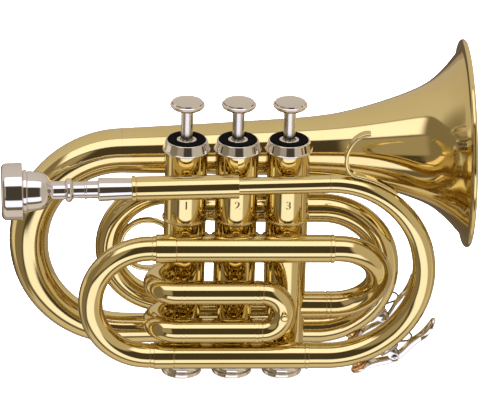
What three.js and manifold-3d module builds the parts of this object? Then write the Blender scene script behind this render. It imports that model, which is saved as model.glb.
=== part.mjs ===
// Pocket trumpet in millimetres, +Z up, +X towards the bell, -Y towards the player's right-hand side.
// The origin is the centre of the middle valve's bottom cap, on the plane that the trumpet stands on.
import * as THREE from 'three'
import { mergeVertices } from 'three/addons/utils/BufferGeometryUtils.js'
import Module from 'manifold-3d'

const wasm = await Module()
wasm.setup()

// Driving dimensions, all radii and lengths in millimetres
const overrun = 1
const solderGap = 0.3
const slideClearance = 0.35
const tubeWall = 0.55
const weldGrid = 0.0001

const tubeSides = 10
const bellSides = 24
const bellRings = 10
const roundSides = 14
const portSides = 8
const innerWireSides = 4
const innerCoilSteps = 7
const wireSides = 5
const coilSteps = 8
const legSteps = 8
const easeSteps = 5
const bandSteps = 8
const hookSteps = 18
const paddleSteps = 3
const bendStep = THREE.MathUtils.degToRad(25)
const fineBendStep = THREE.MathUtils.degToRad(6)
const wideBendStep = THREE.MathUtils.degToRad(18)

// Valve cluster
const valvePitch = 23.6
const casingRadius = 9.8
const casingWall = 0.9
const casingTop = 116
const seamHeight = 79.6
const seamHalfWidth = 0.7
const seamStandOut = 0.35
const guideHeight = 85
const guideThickness = 2
const guideClearance = 0.6
const bottomCapHeight = 7.6
const bottomCapFlange = 9.4
const bottomCapFlangeHeight = 1.8
const bottomCapWaist = 8.5
const bottomCapFloor = 2.2
const bottomCapSpigot = 2
const bottomCapWall = 1.4
const topCapWall = 0.85
const topCapHeight = 5.2
const topCapBandHeight = 1.6
const topCapRim = 0.6
const topCapPlate = 0.9
const topCapNeckWall = 1.5
const topCapNeckRise = 0.3
const feltRadius = 8.8
const feltThickness = 1.7
const feltRim = 0.3

// Moving valve pieces
const pistonRunningGap = 0.3
const pistonTopGap = 3
const pistonWall = 0.9
const pistonPlate = 2
const valveTravel = 14.5
const valveEndGap = 0.3
const stemRadius = 2.8
const stemNeck = 2
const springPlateGap = 1.3
const springPlateThickness = 1.4
const springPlateDrop = 5
const buttonRadius = 7.8
const buttonHeight = 3.2
const buttonBevel = 0.7
const buttonDish = 0.5
const buttonDishRim = 0.9
const springInset = 1.6
const springWire = 0.5
const springTurns = 5
const springSeat = 0.3

// Depths of the planes that the tubing lies in
const frontDepth = -17
const firstSlideDepth = -20
const rearDepth = 17
const thirdSlideDepth = 30
const bellDepth = 26

// Mouthpiece, receiver and leadpipe on one slightly rising axis
const leadTilt = THREE.MathUtils.degToRad(1.55)
const mouthpieceLength = 85.6
const mouthpieceRimRadius = 13.1
const mouthpieceInsert = 26
const shankWall = 1
const receiverRadius = 5.7
const receiverLength = 49
const receiverRing = 0.5
const receiverRingWidth = 1.9
const receiverWall = 0.5
const leadpipeRadius = 4.15
const receiverToBow = 42

// Lead bow on the front plane
const leadBowGap = 8.5
const leadBowRadius = 43.8
const leadBowMiddle = 5.5
const leadBowEnd = 6
const lowerFrontHeight = 16.2
const lowerSleeveRadius = 6.2
const lowerSleeveLeft = -37.5
const lowerSleeveRight = 34.5
const ferruleLength = 9
const ferruleStandOut = 0.3
const ferruleRing = 1.6

// Tuning slide and upper front tube
const upperFrontHeight = 71.1
const upperSleeveRadius = 6.55
const upperSleeveRight = 44.7
const tuningCrookGap = 2.4
const tuningCrookRadius = 5.75
const tuningLegReach = 30

// Entry crook from the upper front tube into valve three
const entryCrookGap = 2
const entryHeight = 34.5
const entryRadius = 6.05

// First slide
const firstUpperHeight = 50
const firstLowerHeight = 30.6
const firstTubeRadius = 5.7
const firstKnuckleReach = 3.5
const firstSleeveLeft = -25
const firstSleeveRight = 10.5
const firstCrookGap = 1.9
const firstLegReach = 26
const knobRadius = 2
const knobLength = 3.4

// Second slide
const secondUpperHeight = 47.6
const secondLowerHeight = 34
const secondTubeRadius = 5.2
const secondSleeveLength = 16
const secondLegReach = 13
const secondCrookGap = 1.2

// Third slide
const thirdUpperHeight = 48.2
const thirdLowerHeight = 19.8
const thirdLowerPort = 28
const thirdTubeRadius = 5.3
const thirdElbow = 10
const thirdSleeveRight = 54
const thirdLegReach = 17
const thirdLowerElbow = 13
const thirdHandleShare = 0.5

// Valve ports
const portHeight = 31
const portRadius = 4.5
const connectorWall = 1
const braceHeight = 69
const braceRadius = 1.5
const braceFlange = 2.6
const braceFlangeLength = 0.9

// Bell and the tubing behind the valves
const bellTilt = THREE.MathUtils.degToRad(1.4)
const bellRimX = 109.2
const bellRimHeight = 105.4
const bellRimRadius = 47.8
const bellTailRadius = 10.5
const bellWall = 0.7
const bellBead = 0.9
const bellBowX = -52.4
const bellBowMiddle = 8.75
const bellBowHandleShare = 0.3
const rearLowHeight = 13.9
const rearLowRadius = 6.4
const rearJointX = -18
const rearBowX = 41.1
const rearBowRadius = 31.2
const rearTubeRadius = 5.9
const rearRiseStart = -12
const rearRiseEnd = -29
const rearLoopTop = 84.6
const rearEntryHeight = 28.9
const rearElbow = 7

// Thumb ring and finger hook
const thumbRingReach = 6.9
const thumbRingHeight = 61.5
const thumbRingRadius = 13.3
const thumbRingWall = 1.9
const thumbRingWidth = 4.2
const thumbRingDepth = 8.6
const hookWidth = 5
const hookThickness = 1.7
const hookFootStart = THREE.MathUtils.degToRad(37)
const hookFootEnd = THREE.MathUtils.degToRad(13)
const hookBackX = 48.7
const hookBackHeight = 116
const hookTipX = 59.4
const hookTipHeight = 129

// Water keys
const frontKeyAngle = THREE.MathUtils.degToRad(36.2)
const rearKeyAngle = THREE.MathUtils.degToRad(51)
const keyPinHeight = 3.9
const keyPinRadius = 0.8
const keyHeadRadius = 1.75
const keyHeadLength = 0.6
const keyBarrelRadius = 1.7
const keyBarrelLength = 5
const keyEarThickness = 1.1
const keyEarWidth = 4.4
const keyFootLength = 9
const keyFootThickness = 1.2
const keyRunningGap = 0.3
const keyArmThickness = 2.4
const keyArmWidth = 3.6
const keyArmRise = 1.5
const keyArmFollow = 0.85
const keyCorkReach = 15.8
const keyCorkRadius = 4.2
const keyCorkHeight = 1.3
const keyCupWall = 0.6
const keyCupCrown = 0.9
const keyNippleRise = 0.35
const keyNippleRadius = 2.9
const keyNippleBore = 1.4
const keyCorkGap = 0.3
const keyPaddleReach = 25.6
const keyPaddleLength = 11
const keyPaddleWidth = 7
const keyPaddleThickness = 1.9
const keySpringWire = 0.32
const keySpringTurns = 2
const keySpringPitch = 1.1
const keySpringReach = 10.8

// Materials
const lacqueredBrass = { color: 0xd9a93c, roughness: 0.16, metalness: 1 }
const nickelSilver = { color: 0xd8d4c8, roughness: 0.18, metalness: 1 }
const blackFelt = { color: 0x101010, roughness: 0.95, metalness: 0 }
const corkBrown = { color: 0xb5713a, roughness: 0.85, metalness: 0 }
const springSteel = { color: 0x55504a, roughness: 0.35, metalness: 1 }

const trumpet = new THREE.Group()
const xAxis = new THREE.Vector3(1, 0, 0)
const yAxis = new THREE.Vector3(0, 1, 0)
const zAxis = new THREE.Vector3(0, 0, 1)
const left = xAxis.clone().negate()
const front = yAxis.clone().negate()
const down = zAxis.clone().negate()

function vec(x, y, z) {
  return new THREE.Vector3(x, y, z)
}

// A manifold solid from any closed three.js geometry, turned to face outwards
function solid(geometry) {
  const bare = geometry.clone()
  bare.deleteAttribute('normal')
  bare.deleteAttribute('uv')
  const merged = mergeVertices(bare, weldGrid)
  const corners = Array.from(merged.index.array)
  const kept = []
  for (let i = 0; i < corners.length; i += 3) {
    const [a, b, c] = corners.slice(i, i + 3)
    if (a !== b && b !== c && c !== a) kept.push(a, b, c)
  }
  const places = merged.attributes.position.array
  if (signedVolume(places, kept) < 0) kept.reverse()
  const mesh = new wasm.Mesh({
    numProp: 3,
    vertProperties: Float32Array.from(places),
    triVerts: Uint32Array.from(kept),
  })
  return new wasm.Manifold(mesh)
}

function signedVolume(places, corners) {
  const [a, b, c] = [vec(0, 0, 0), vec(0, 0, 0), vec(0, 0, 0)]
  let volume = 0
  for (let i = 0; i < corners.length; i += 3) {
    a.fromArray(places, 3 * corners[i])
    b.fromArray(places, 3 * corners[i + 1])
    c.fromArray(places, 3 * corners[i + 2])
    volume += a.dot(b.cross(c))
  }
  return volume
}

function asGeometry(body) {
  const mesh = body.getMesh()
  const geometry = new THREE.BufferGeometry()
  geometry.setAttribute('position', new THREE.BufferAttribute(Float32Array.from(mesh.vertProperties), 3))
  geometry.setIndex(new THREE.BufferAttribute(Uint32Array.from(mesh.triVerts), 1))
  return geometry
}

// Puts one named piece into the trumpet, or into a group that is placed by itself
function piece(name, body, look, parent = trumpet) {
  const geometry = asGeometry(body)
  geometry.computeVertexNormals()
  const mesh = new THREE.Mesh(geometry, new THREE.MeshStandardMaterial({ ...look, flatShading: true }))
  mesh.name = name
  parent.add(mesh)
  return mesh
}

// A circular bend that starts at a point with a heading and turns towards a direction
class Bend extends THREE.Curve {
  constructor(start, heading, towards, radius, angle) {
    super()
    this.heading = heading.clone().normalize()
    this.side = towards.clone().addScaledVector(this.heading, -towards.dot(this.heading)).normalize()
    this.centre = start.clone().addScaledVector(this.side, radius)
    this.radius = radius
    this.angle = angle
  }

  getPoint(t, target = new THREE.Vector3()) {
    const turned = this.angle * t
    return target.copy(this.centre)
      .addScaledVector(this.side, -this.radius * Math.cos(turned))
      .addScaledVector(this.heading, this.radius * Math.sin(turned))
  }

  getTangent(t, target = new THREE.Vector3()) {
    const turned = this.angle * t
    return target.set(0, 0, 0)
      .addScaledVector(this.side, Math.sin(turned))
      .addScaledVector(this.heading, Math.cos(turned))
  }
}

// A tube's centre line, laid out piece by piece from its start
class Route {
  constructor(start, heading) {
    this.at = start.clone()
    this.heading = heading.clone().normalize()
    this.length = 0
    this.stretches = []
  }

  add(curve, length, steps) {
    this.stretches.push({ curve, from: this.length, length, steps })
    this.length += length
    this.at = curve.getPoint(1)
    this.heading = curve.getTangent(1).normalize()
    return this
  }

  ahead(length) {
    const end = this.at.clone().addScaledVector(this.heading, length)
    return this.add(new THREE.LineCurve3(this.at.clone(), end), length, 1)
  }

  bend(towards, radius, angle, step = bendStep) {
    const curve = new Bend(this.at, this.heading, towards, radius, angle)
    return this.add(curve, radius * angle, Math.max(2, Math.round(angle / step)))
  }

  // An easy curve to a point and heading, its handles a share of the distance
  ease(end, heading, handleShare = 0.45) {
    const reach = this.at.distanceTo(end) * handleShare
    const first = this.at.clone().addScaledVector(this.heading, reach)
    const second = end.clone().addScaledVector(heading, -reach)
    const curve = new THREE.CubicBezierCurve3(this.at.clone(), first, second, end.clone())
    return this.add(curve, curve.getLength(), easeSteps)
  }

  station(distance) {
    const stretch = this.stretches.find((s) => distance <= s.from + s.length + weldGrid)
      ?? this.stretches.at(-1)
    const share = THREE.MathUtils.clamp((distance - stretch.from) / stretch.length, 0, 1)
    return { at: stretch.curve.getPoint(share), along: stretch.curve.getTangent(share).normalize() }
  }

  // Distances where the centre line needs a ring of its own
  knots() {
    const places = [0]
    for (const { from, length, steps } of this.stretches) {
      for (let i = 1; i <= steps; i++) places.push(from + length * i / steps)
    }
    return places
  }
}

// Radius at a distance from a profile of [distance, radius] pairs, taken just before or after a step
function radiusAt(profile, distance, after) {
  let low = profile[0]
  let high = profile.at(-1)
  for (const point of profile) {
    if (after ? point[0] <= distance + weldGrid : point[0] < distance - weldGrid) low = point
  }
  for (const point of [...profile].reverse()) {
    if (after ? point[0] > distance + weldGrid : point[0] >= distance - weldGrid) high = point
  }
  if (high[0] - low[0] < weldGrid) return after ? low[1] : high[1]
  const share = (distance - low[0]) / (high[0] - low[0])
  return THREE.MathUtils.lerp(low[1], high[1], THREE.MathUtils.clamp(share, 0, 1))
}

// Rings of points round a route, two at a place where the radius steps
function ringsAlong(route, profile, sides, swell) {
  const wanted = [...route.knots(), ...profile.map(([distance]) => distance)]
  const places = []
  for (const place of wanted.sort((a, b) => a - b)) {
    if (places.length === 0 || place - places.at(-1) > 10 * weldGrid) places.push(place)
  }
  const rings = []
  let normal = null
  let lastAlong = null
  for (const place of places) {
    const { at, along } = route.station(place)
    if (normal === null) normal = startNormal(along)
    else normal.applyQuaternion(new THREE.Quaternion().setFromUnitVectors(lastAlong, along))
    lastAlong = along.clone()
    const across = along.clone().cross(normal)
    const radii = [radiusAt(profile, place, false), radiusAt(profile, place, true)]
    if (place === places[0]) radii.shift()
    if (place === places.at(-1)) radii.pop()
    if (radii.length === 2 && Math.abs(radii[0] - radii[1]) < weldGrid) radii.pop()
    for (const radius of radii) {
      const ring = []
      for (let i = 0; i < sides; i++) {
        const turned = 2 * Math.PI * (i + 0.5) / sides
        ring.push(at.clone()
          .addScaledVector(normal, swell * radius * Math.cos(turned))
          .addScaledVector(across, swell * radius * Math.sin(turned)))
      }
      rings.push(ring)
    }
  }
  return rings
}

function startNormal(along) {
  const guide = Math.abs(along.z) < 0.9 ? zAxis : xAxis
  return guide.clone().addScaledVector(along, -guide.dot(along)).normalize()
}

// Joins a closed loop of rings into one skin
function skin(rings, sides) {
  const places = rings.flat().flatMap((point) => point.toArray())
  const corners = []
  for (let r = 0; r < rings.length; r++) {
    const next = (r + 1) % rings.length
    for (let i = 0; i < sides; i++) {
      const j = (i + 1) % sides
      const [a, b] = [r * sides + i, r * sides + j]
      const [c, d] = [next * sides + i, next * sides + j]
      corners.push(a, b, d, a, d, c)
    }
  }
  const geometry = new THREE.BufferGeometry()
  geometry.setAttribute('position', new THREE.Float32BufferAttribute(places, 3))
  geometry.setIndex(corners)
  return geometry
}

// A tube with an open bore
function pipe(route, outer, inner, sides = tubeSides, swell = 1) {
  const outside = ringsAlong(route, outer, sides, 1)
  const inside = ringsAlong(route, inner, sides, swell).reverse()
  return solid(skin([...outside, ...inside], sides))
}

// A tube whose bore swells so that its flats clear the round leg that slides in it
function slidePipe(route, outer, inner) {
  return pipe(route, outer, inner, tubeSides, 1 / Math.cos(Math.PI / tubeSides))
}

// A solid rod along a route, used for cutting bores and for pins
function rod(route, radius, sides = tubeSides) {
  const rings = ringsAlong(route, [[0, radius], [route.length, radius]], sides, 1)
  const [first, last] = [rings[0], rings.at(-1)]
  const starts = Array(sides).fill(route.station(0).at)
  const ends = Array(sides).fill(route.station(route.length).at)
  return solid(skin([starts, first, ...rings.slice(1, -1), last, ends], sides))
}

function straight(start, heading, length) {
  return new Route(start, heading).ahead(length)
}

// A turned piece about the Z axis from an outline of [radius, height] pairs that closes on itself
function turned(outline, sides = roundSides) {
  const points = [...outline, outline[0]].map(([radius, height]) => new THREE.Vector2(radius, height))
  return solid(new THREE.LatheGeometry(points, sides).rotateX(Math.PI / 2))
}

function cylinderBetween(radius, low, high, x = 0) {
  const round = new THREE.CylinderGeometry(radius, radius, high - low, roundSides)
  return solid(round.rotateX(Math.PI / 2).translate(x, 0, (low + high) / 2))
}

function block(from, to) {
  const size = to.clone().sub(from)
  const centre = from.clone().add(to).divideScalar(2)
  return solid(new THREE.BoxGeometry(size.x, size.y, size.z).translate(centre.x, centre.y, centre.z))
}

const valveNumbers = [1, 2, 3]
const valveX = (number) => (number - 2) * valvePitch
const clearOfCasing = casingRadius + solderGap

// Heights and radii that the valve pieces share
const casingBore = casingRadius - casingWall
const topCapFoot = casingTop - topCapHeight / 2
const topCapTop = topCapFoot + topCapHeight
const capShelf = casingTop + solderGap
const capRecess = capShelf + topCapPlate
const stemHole = stemRadius + pistonRunningGap
const topCapNeck = stemHole + topCapNeckWall
const recessRadius = feltRadius + feltRim
const feltFoot = capRecess + feltRim
const buttonFoot = feltFoot + feltThickness + valveTravel + valveEndGap
const spigotRadius = casingBore - pistonRunningGap
const pistonFoot = bottomCapHeight + bottomCapSpigot + valveTravel + valveEndGap
const pistonTop = guideHeight - pistonTopGap
const guideHole = stemNeck + guideClearance
const guideTop = guideHeight + guideThickness
const springPlateRadius = casingBore - springPlateGap
const springPlateTop = casingTop - springPlateDrop
const springPlateFoot = springPlateTop - springPlateThickness
const springRadius = springPlateRadius - springInset
const connectorRadius = portRadius + connectorWall

// The room that a valve casing takes up, with the gap that soldered tubes keep from it
function casingRoom(number) {
  return cylinderBetween(clearOfCasing, -overrun, casingTop + overrun, valveX(number))
}

// The valve ports: which valve, which way the bore leaves it and how high
const ports = [
  { valve: 1, way: yAxis, height: rearEntryHeight },
  { valve: 1, way: xAxis, height: portHeight },
  { valve: 1, way: left, height: firstUpperHeight },
  { valve: 1, way: left, height: firstLowerHeight },
  { valve: 2, way: left, height: portHeight },
  { valve: 2, way: xAxis, height: portHeight },
  { valve: 2, way: yAxis, height: secondUpperHeight },
  { valve: 2, way: yAxis, height: secondLowerHeight },
  { valve: 3, way: left, height: portHeight },
  { valve: 3, way: xAxis, height: entryHeight },
  { valve: 3, way: yAxis, height: thirdUpperHeight },
  { valve: 3, way: yAxis, height: thirdLowerPort },
]

function casing(number) {
  const seamRadius = casingRadius + seamStandOut
  let body = turned([
    [casingBore, bottomCapHeight],
    [casingRadius, bottomCapHeight],
    [casingRadius, seamHeight - seamHalfWidth],
    [seamRadius, seamHeight],
    [casingRadius, seamHeight + seamHalfWidth],
    [casingRadius, casingTop],
    [casingBore, casingTop],
    [casingBore, guideTop],
    [guideHole, guideTop],
    [guideHole, guideHeight],
    [casingBore, guideHeight],
  ])
  for (const { valve, way, height } of ports) {
    const bore = straight(vec(0, 0, height), way, 2 * casingRadius)
    if (valve === number) body = body.subtract(rod(bore, portRadius, portSides))
  }
  return body
}

function bottomCap() {
  const bore = spigotRadius - bottomCapWall
  const waistHeight = (bottomCapFlangeHeight + bottomCapHeight) / 2
  return turned([
    [0, 0],
    [bottomCapFlange - bottomCapFlangeHeight / 4, 0],
    [bottomCapFlange, bottomCapFlangeHeight / 4],
    [bottomCapFlange, bottomCapFlangeHeight],
    [bottomCapWaist, bottomCapFlangeHeight + (waistHeight - bottomCapFlangeHeight) / 2],
    [bottomCapWaist, waistHeight],
    [casingRadius - seamStandOut, bottomCapHeight - solderGap],
    [spigotRadius, bottomCapHeight - solderGap],
    [spigotRadius, bottomCapHeight + bottomCapSpigot],
    [bore, bottomCapHeight + bottomCapSpigot],
    [bore, bottomCapFloor],
    [0, bottomCapFloor],
  ])
}

function topCap() {
  const outside = clearOfCasing + topCapWall
  return turned([
    [clearOfCasing, topCapFoot],
    [outside, topCapFoot],
    [outside, topCapFoot + topCapBandHeight],
    [recessRadius + topCapRim, topCapTop],
    [recessRadius, topCapTop],
    [recessRadius, capRecess],
    [topCapNeck, capRecess],
    [topCapNeck, topCapTop + topCapNeckRise],
    [stemHole, topCapTop + topCapNeckRise],
    [stemHole, capShelf],
    [clearOfCasing, capShelf],
  ])
}

function topFelt() {
  return turned([
    [topCapNeck + feltRim, feltFoot],
    [feltRadius, feltFoot],
    [feltRadius, feltFoot + feltThickness],
    [topCapNeck + feltRim, feltFoot + feltThickness],
  ])
}

function fingerButton() {
  const top = buttonFoot + buttonHeight
  const dishRadius = buttonRadius - buttonBevel - buttonDishRim
  return turned([
    [0, buttonFoot],
    [buttonRadius - buttonBevel, buttonFoot],
    [buttonRadius, buttonFoot + buttonBevel],
    [buttonRadius, top - buttonBevel],
    [buttonRadius - buttonBevel, top],
    [dishRadius, top],
    [dishRadius - buttonBevel, top - buttonDish],
    [0, top - buttonDish],
  ])
}

function valveStem() {
  return turned([
    [0, pistonTop],
    [stemNeck, pistonTop],
    [stemNeck, springPlateFoot],
    [springPlateRadius, springPlateFoot],
    [springPlateRadius, springPlateTop],
    [stemRadius, springPlateTop],
    [stemRadius, buttonFoot],
    [0, buttonFoot],
  ])
}

// A thin-walled piston with an open foot and two tubes that carry the air across it
function piston() {
  const radius = spigotRadius
  const bore = radius - pistonWall
  const shell = turned([
    [bore, pistonFoot],
    [radius, pistonFoot],
    [radius, pistonTop],
    [0, pistonTop],
    [0, pistonTop - pistonPlate],
    [bore, pistonTop - pistonPlate],
  ])
  const room = cylinderBetween(radius - pistonWall / 2, pistonFoot, pistonTop)
  const crossings = [
    { way: xAxis, height: portHeight },
    { way: yAxis, height: secondUpperHeight },
  ]
  let body = shell
  for (const { way, height } of crossings) {
    const start = vec(0, 0, height).addScaledVector(way, -radius - overrun)
    const across = straight(start, way, 2 * (radius + overrun))
    const wall = rod(across, portRadius + pistonWall, portSides).intersect(room)
    body = body.add(wall).subtract(rod(across, portRadius, portSides))
  }
  return body
}

// Points of a helix about the Z axis
function helix(radius, turns, low, high, stepsPerTurn) {
  const points = []
  for (let i = 0; i <= stepsPerTurn * turns; i++) {
    const turnedBy = 2 * Math.PI * i / stepsPerTurn
    const height = low + (high - low) * i / (stepsPerTurn * turns)
    points.push(vec(radius * Math.cos(turnedBy), radius * Math.sin(turnedBy), height))
  }
  return points
}

// The least gap between the turns of a wire that runs through the points given
function leastGap(points, wire, stepsPerTurn) {
  let least = Infinity
  for (let i = 0; i < points.length; i++) {
    for (let j = i + Math.ceil(stepsPerTurn / 2); j < points.length; j++) {
      least = Math.min(least, points[i].distanceTo(points[j]) - 2 * wire)
    }
  }
  return least
}

// A solid wire whose rings stand at the points given
function wireThrough(points, wire, sides) {
  const rings = []
  let normal = null
  let lastAlong = null
  for (let i = 0; i < points.length; i++) {
    const along = points[Math.min(i + 1, points.length - 1)].clone()
      .sub(points[Math.max(i - 1, 0)]).normalize()
    if (normal === null) normal = startNormal(along)
    else normal.applyQuaternion(new THREE.Quaternion().setFromUnitVectors(lastAlong, along))
    lastAlong = along
    const across = along.clone().cross(normal)
    const ring = []
    for (let s = 0; s < sides; s++) {
      const turnedBy = 2 * Math.PI * s / sides
      ring.push(points[i].clone()
        .addScaledVector(normal, wire * Math.cos(turnedBy))
        .addScaledVector(across, wire * Math.sin(turnedBy)))
    }
    rings.push(ring)
  }
  const starts = Array(sides).fill(points[0])
  const ends = Array(sides).fill(points.at(-1))
  return solid(skin([starts, ...rings, ends], sides))
}

function valveSpring() {
  const low = guideTop + springSeat + springWire
  const high = springPlateFoot - springSeat - springWire
  const points = helix(springRadius, springTurns, low, high, innerCoilSteps)
  console.log('least gap of the valve spring', leastGap(points, springWire, innerCoilSteps).toFixed(2))
  return wireThrough(points, springWire, innerWireSides)
}

for (const number of valveNumbers) {
  const valve = new THREE.Group()
  valve.position.x = valveX(number)
  trumpet.add(valve)
  piece(`valve_casing_${number}`, casing(number), lacqueredBrass, valve)
  piece(`bottom_cap_${number}`, bottomCap(), nickelSilver, valve)
  piece(`top_cap_${number}`, topCap(), nickelSilver, valve)
  piece(`top_felt_${number}`, topFelt(), blackFelt, valve)
  piece(`finger_button_${number}`, fingerButton(), nickelSilver, valve)
  piece(`valve_stem_${number}`, valveStem(), nickelSilver, valve)
  piece(`piston_${number}`, piston(), nickelSilver, valve)
  piece(`valve_spring_${number}`, valveSpring(), springSteel, valve)
}

for (const [first, second] of [[1, 2], [2, 3]]) {
  const route = straight(vec(valveX(first), 0, portHeight), xAxis, valvePitch)
  const tube = pipe(route, [[0, connectorRadius], [valvePitch, connectorRadius]],
    [[0, portRadius], [valvePitch, portRadius]])
  piece(`valve_connector_${first}${second}`,
    tube.subtract(casingRoom(first)).subtract(casingRoom(second)), lacqueredBrass)
  piece(`casing_brace_${first}${second}`, casingBrace(first), lacqueredBrass)
}

// A waisted post between two casings
function casingBrace(first) {
  const flange = clearOfCasing + braceFlangeLength
  const middle = valvePitch / 2
  const outline = [
    [0, clearOfCasing],
    [braceFlange, clearOfCasing],
    [braceFlange, flange],
    [braceRadius, middle],
    [braceFlange, valvePitch - flange],
    [braceFlange, valvePitch - clearOfCasing],
    [0, valvePitch - clearOfCasing],
  ]
  return turned(outline, tubeSides)
    .rotate([0, 90, 0])
    .translate([valveX(first), 0, braceHeight])
}

// The lead axis runs from the mouthpiece rim to the start of the lead bow
const leadHeading = vec(Math.cos(leadTilt), 0, Math.sin(leadTilt))
const leadBowX = lowerSleeveRight + leadBowGap
const leadBowCentre = vec(leadBowX, frontDepth, lowerFrontHeight + leadBowRadius)
const leadBowStart = leadBowCentre.clone()
  .add(vec(-Math.sin(leadTilt), 0, Math.cos(leadTilt)).multiplyScalar(leadBowRadius))
const leadPoint = (beforeBow) => leadBowStart.clone().addScaledVector(leadHeading, -beforeBow)
const receiverMouth = receiverToBow + receiverLength
const mouthpieceRim = receiverMouth + mouthpieceLength - mouthpieceInsert

const leadBore = leadpipeRadius - tubeWall
const shankTip = leadpipeRadius + slideClearance / 2
const shankMouth = receiverRadius - receiverWall - slideClearance

// Places from the rim as shares of the length, radii as shares of the rim's radius
const mouthpieceOutsideShares = [
  [0, 0.85], [0.011, 0.95], [0.03, 1], [0.11, 1], [0.11, 0.765], [0.138, 0.765], [0.138, 0.7],
  [0.18, 0.66], [0.224, 0.61], [0.25, 0.52], [0.267, 0.41], [0.277, 0.335], [0.341, 0.328],
  [0.345, 0.38], [0.36, 0.42], [0.377, 0.38], [0.384, 0.3], [0.446, 0.3], [0.446, 0.325],
  [0.517, 0.315], [0.517, 0.41],
]
const mouthpieceCupShares = [
  [0, 0.66], [0.018, 0.6], [0.109, 0.45], [0.15, 0.25], [0.178, 0.14], [0.207, 0.14],
]

function mouthpiece() {
  const route = straight(leadPoint(mouthpieceRim), leadHeading, mouthpieceLength)
  const scaled = (shares) => shares.map(([place, radius]) => [place * mouthpieceLength,
    radius * mouthpieceRimRadius])
  const outside = [
    ...scaled(mouthpieceOutsideShares),
    [mouthpieceLength - mouthpieceInsert, shankMouth],
    [mouthpieceLength, shankTip],
  ]
  const inside = [...scaled(mouthpieceCupShares), [mouthpieceLength, shankTip - shankWall]]
  return pipe(route, outside, inside, roundSides)
}
piece('mouthpiece', mouthpiece(), nickelSilver)

function receiver() {
  const route = straight(leadPoint(receiverMouth), leadHeading, receiverLength)
  const bore = receiverRadius - receiverWall
  const step = mouthpieceInsert + slideClearance
  const ringRadius = receiverRadius + receiverRing
  const outside = [
    [0, ringRadius],
    [receiverRingWidth, ringRadius],
    [receiverRingWidth, receiverRadius],
    [receiverLength, receiverRadius],
  ]
  const inside = [
    [0, bore],
    [step, shankTip + slideClearance],
    [step, leadpipeRadius + solderGap],
    [receiverLength, leadpipeRadius + solderGap],
  ]
  return slidePipe(route, outside, inside)
}
piece('mouthpiece_receiver', receiver(), lacqueredBrass)

function leadpipe() {
  const start = receiverMouth - mouthpieceInsert - 2 * slideClearance
  const route = straight(leadPoint(start), leadHeading, start - solderGap)
  const ends = (radius) => [[0, radius], [route.length, radius]]
  return pipe(route, ends(leadpipeRadius), ends(leadBore))
}
piece('leadpipe', leadpipe(), lacqueredBrass)

// The lead bow turns down behind the hook and comes back along the bottom
const leadBowRoute = new Route(leadBowStart, leadHeading)
  .bend(down, leadBowRadius, Math.PI + leadTilt, wideBendStep)
  .ahead(leadBowGap - solderGap)

// How far the lead bow falls away under a place along a key on it; both keys have this shape
const keyBowSurface = leadBowRadius + leadBowEnd
const drop = (place) => Math.sqrt(keyBowSurface ** 2 - place ** 2) - keyBowSurface
const corkSeat = drop(keyCorkReach) + keyNippleRise + keyCorkGap
const corkTop = corkSeat + keyCorkHeight

// A water nipple stands out of a bow where the key's cork closes it
function withNipple(tube, bowCentre, bowRadius, tubeRadius, hingeAngle) {
  const surface = bowRadius + tubeRadius
  const hinge = vec(Math.sin(hingeAngle), 0, -Math.cos(hingeAngle))
  const alongTube = vec(Math.cos(hingeAngle), 0, Math.sin(hingeAngle))
  const seat = bowCentre.clone()
    .addScaledVector(hinge, surface + corkSeat - keyCorkGap)
    .addScaledVector(alongTube, -keyCorkReach)
  const inwards = hinge.clone().negate()
  const depth = corkSeat - drop(keyCorkReach) + surface - bowRadius
  const nipple = rod(straight(seat, inwards, depth), keyNippleRadius)
  const mouth = seat.clone().addScaledVector(hinge, overrun)
  const hollow = rod(straight(mouth, inwards, depth + overrun), keyNippleBore)
  const bore = rod(new Route(vec(bowCentre.x, bowCentre.y, bowCentre.z - bowRadius), xAxis)
    .bend(zAxis, bowRadius, Math.PI / 2, wideBendStep), tubeRadius - tubeWall)
  return tube.add(nipple.subtract(bore)).subtract(hollow)
}

const leadBowOutside = [
  [0, leadpipeRadius],
  [leadBowRoute.length / 2, leadBowMiddle],
  [leadBowRoute.length, leadBowEnd],
]

function leadBow() {
  const inside = leadBowOutside.map(([place, radius]) => [place, radius - tubeWall])
  const tube = pipe(leadBowRoute, leadBowOutside, inside)
  return withNipple(tube, leadBowCentre, leadBowRadius, leadBowEnd, frontKeyAngle)
}
piece('lead_bow', leadBow(), lacqueredBrass)

// A straight outer sleeve with a ferrule band at one end
function sleeve(start, heading, length, radius, ferrules = [0]) {
  const route = straight(start, heading, length)
  const outside = []
  if (ferrules.includes(0)) {
    outside.push([0, radius + ferruleStandOut], [ferruleLength, radius + ferruleStandOut])
    outside.push([ferruleLength, radius])
  } else outside.push([0, radius])
  if (ferrules.includes(1)) {
    outside.push([length - ferruleRing, radius], [length - ferruleRing, radius + ferruleStandOut])
    outside.push([length, radius + ferruleStandOut])
  } else outside.push([length, radius])
  return slidePipe(route, outside, [[0, radius - tubeWall], [length, radius - tubeWall]])
}

const lowerSleeve = sleeve(vec(lowerSleeveLeft, frontDepth, lowerFrontHeight), xAxis,
  lowerSleeveRight - lowerSleeveLeft, lowerSleeveRadius, [0, 1])
piece('lower_tuning_sleeve', lowerSleeve, lacqueredBrass)
const upperSleeve = sleeve(vec(lowerSleeveLeft, frontDepth, upperFrontHeight), xAxis,
  upperSleeveRight - lowerSleeveLeft, upperSleeveRadius, [0, 1])
piece('upper_tuning_sleeve', upperSleeve, lacqueredBrass)

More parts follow.
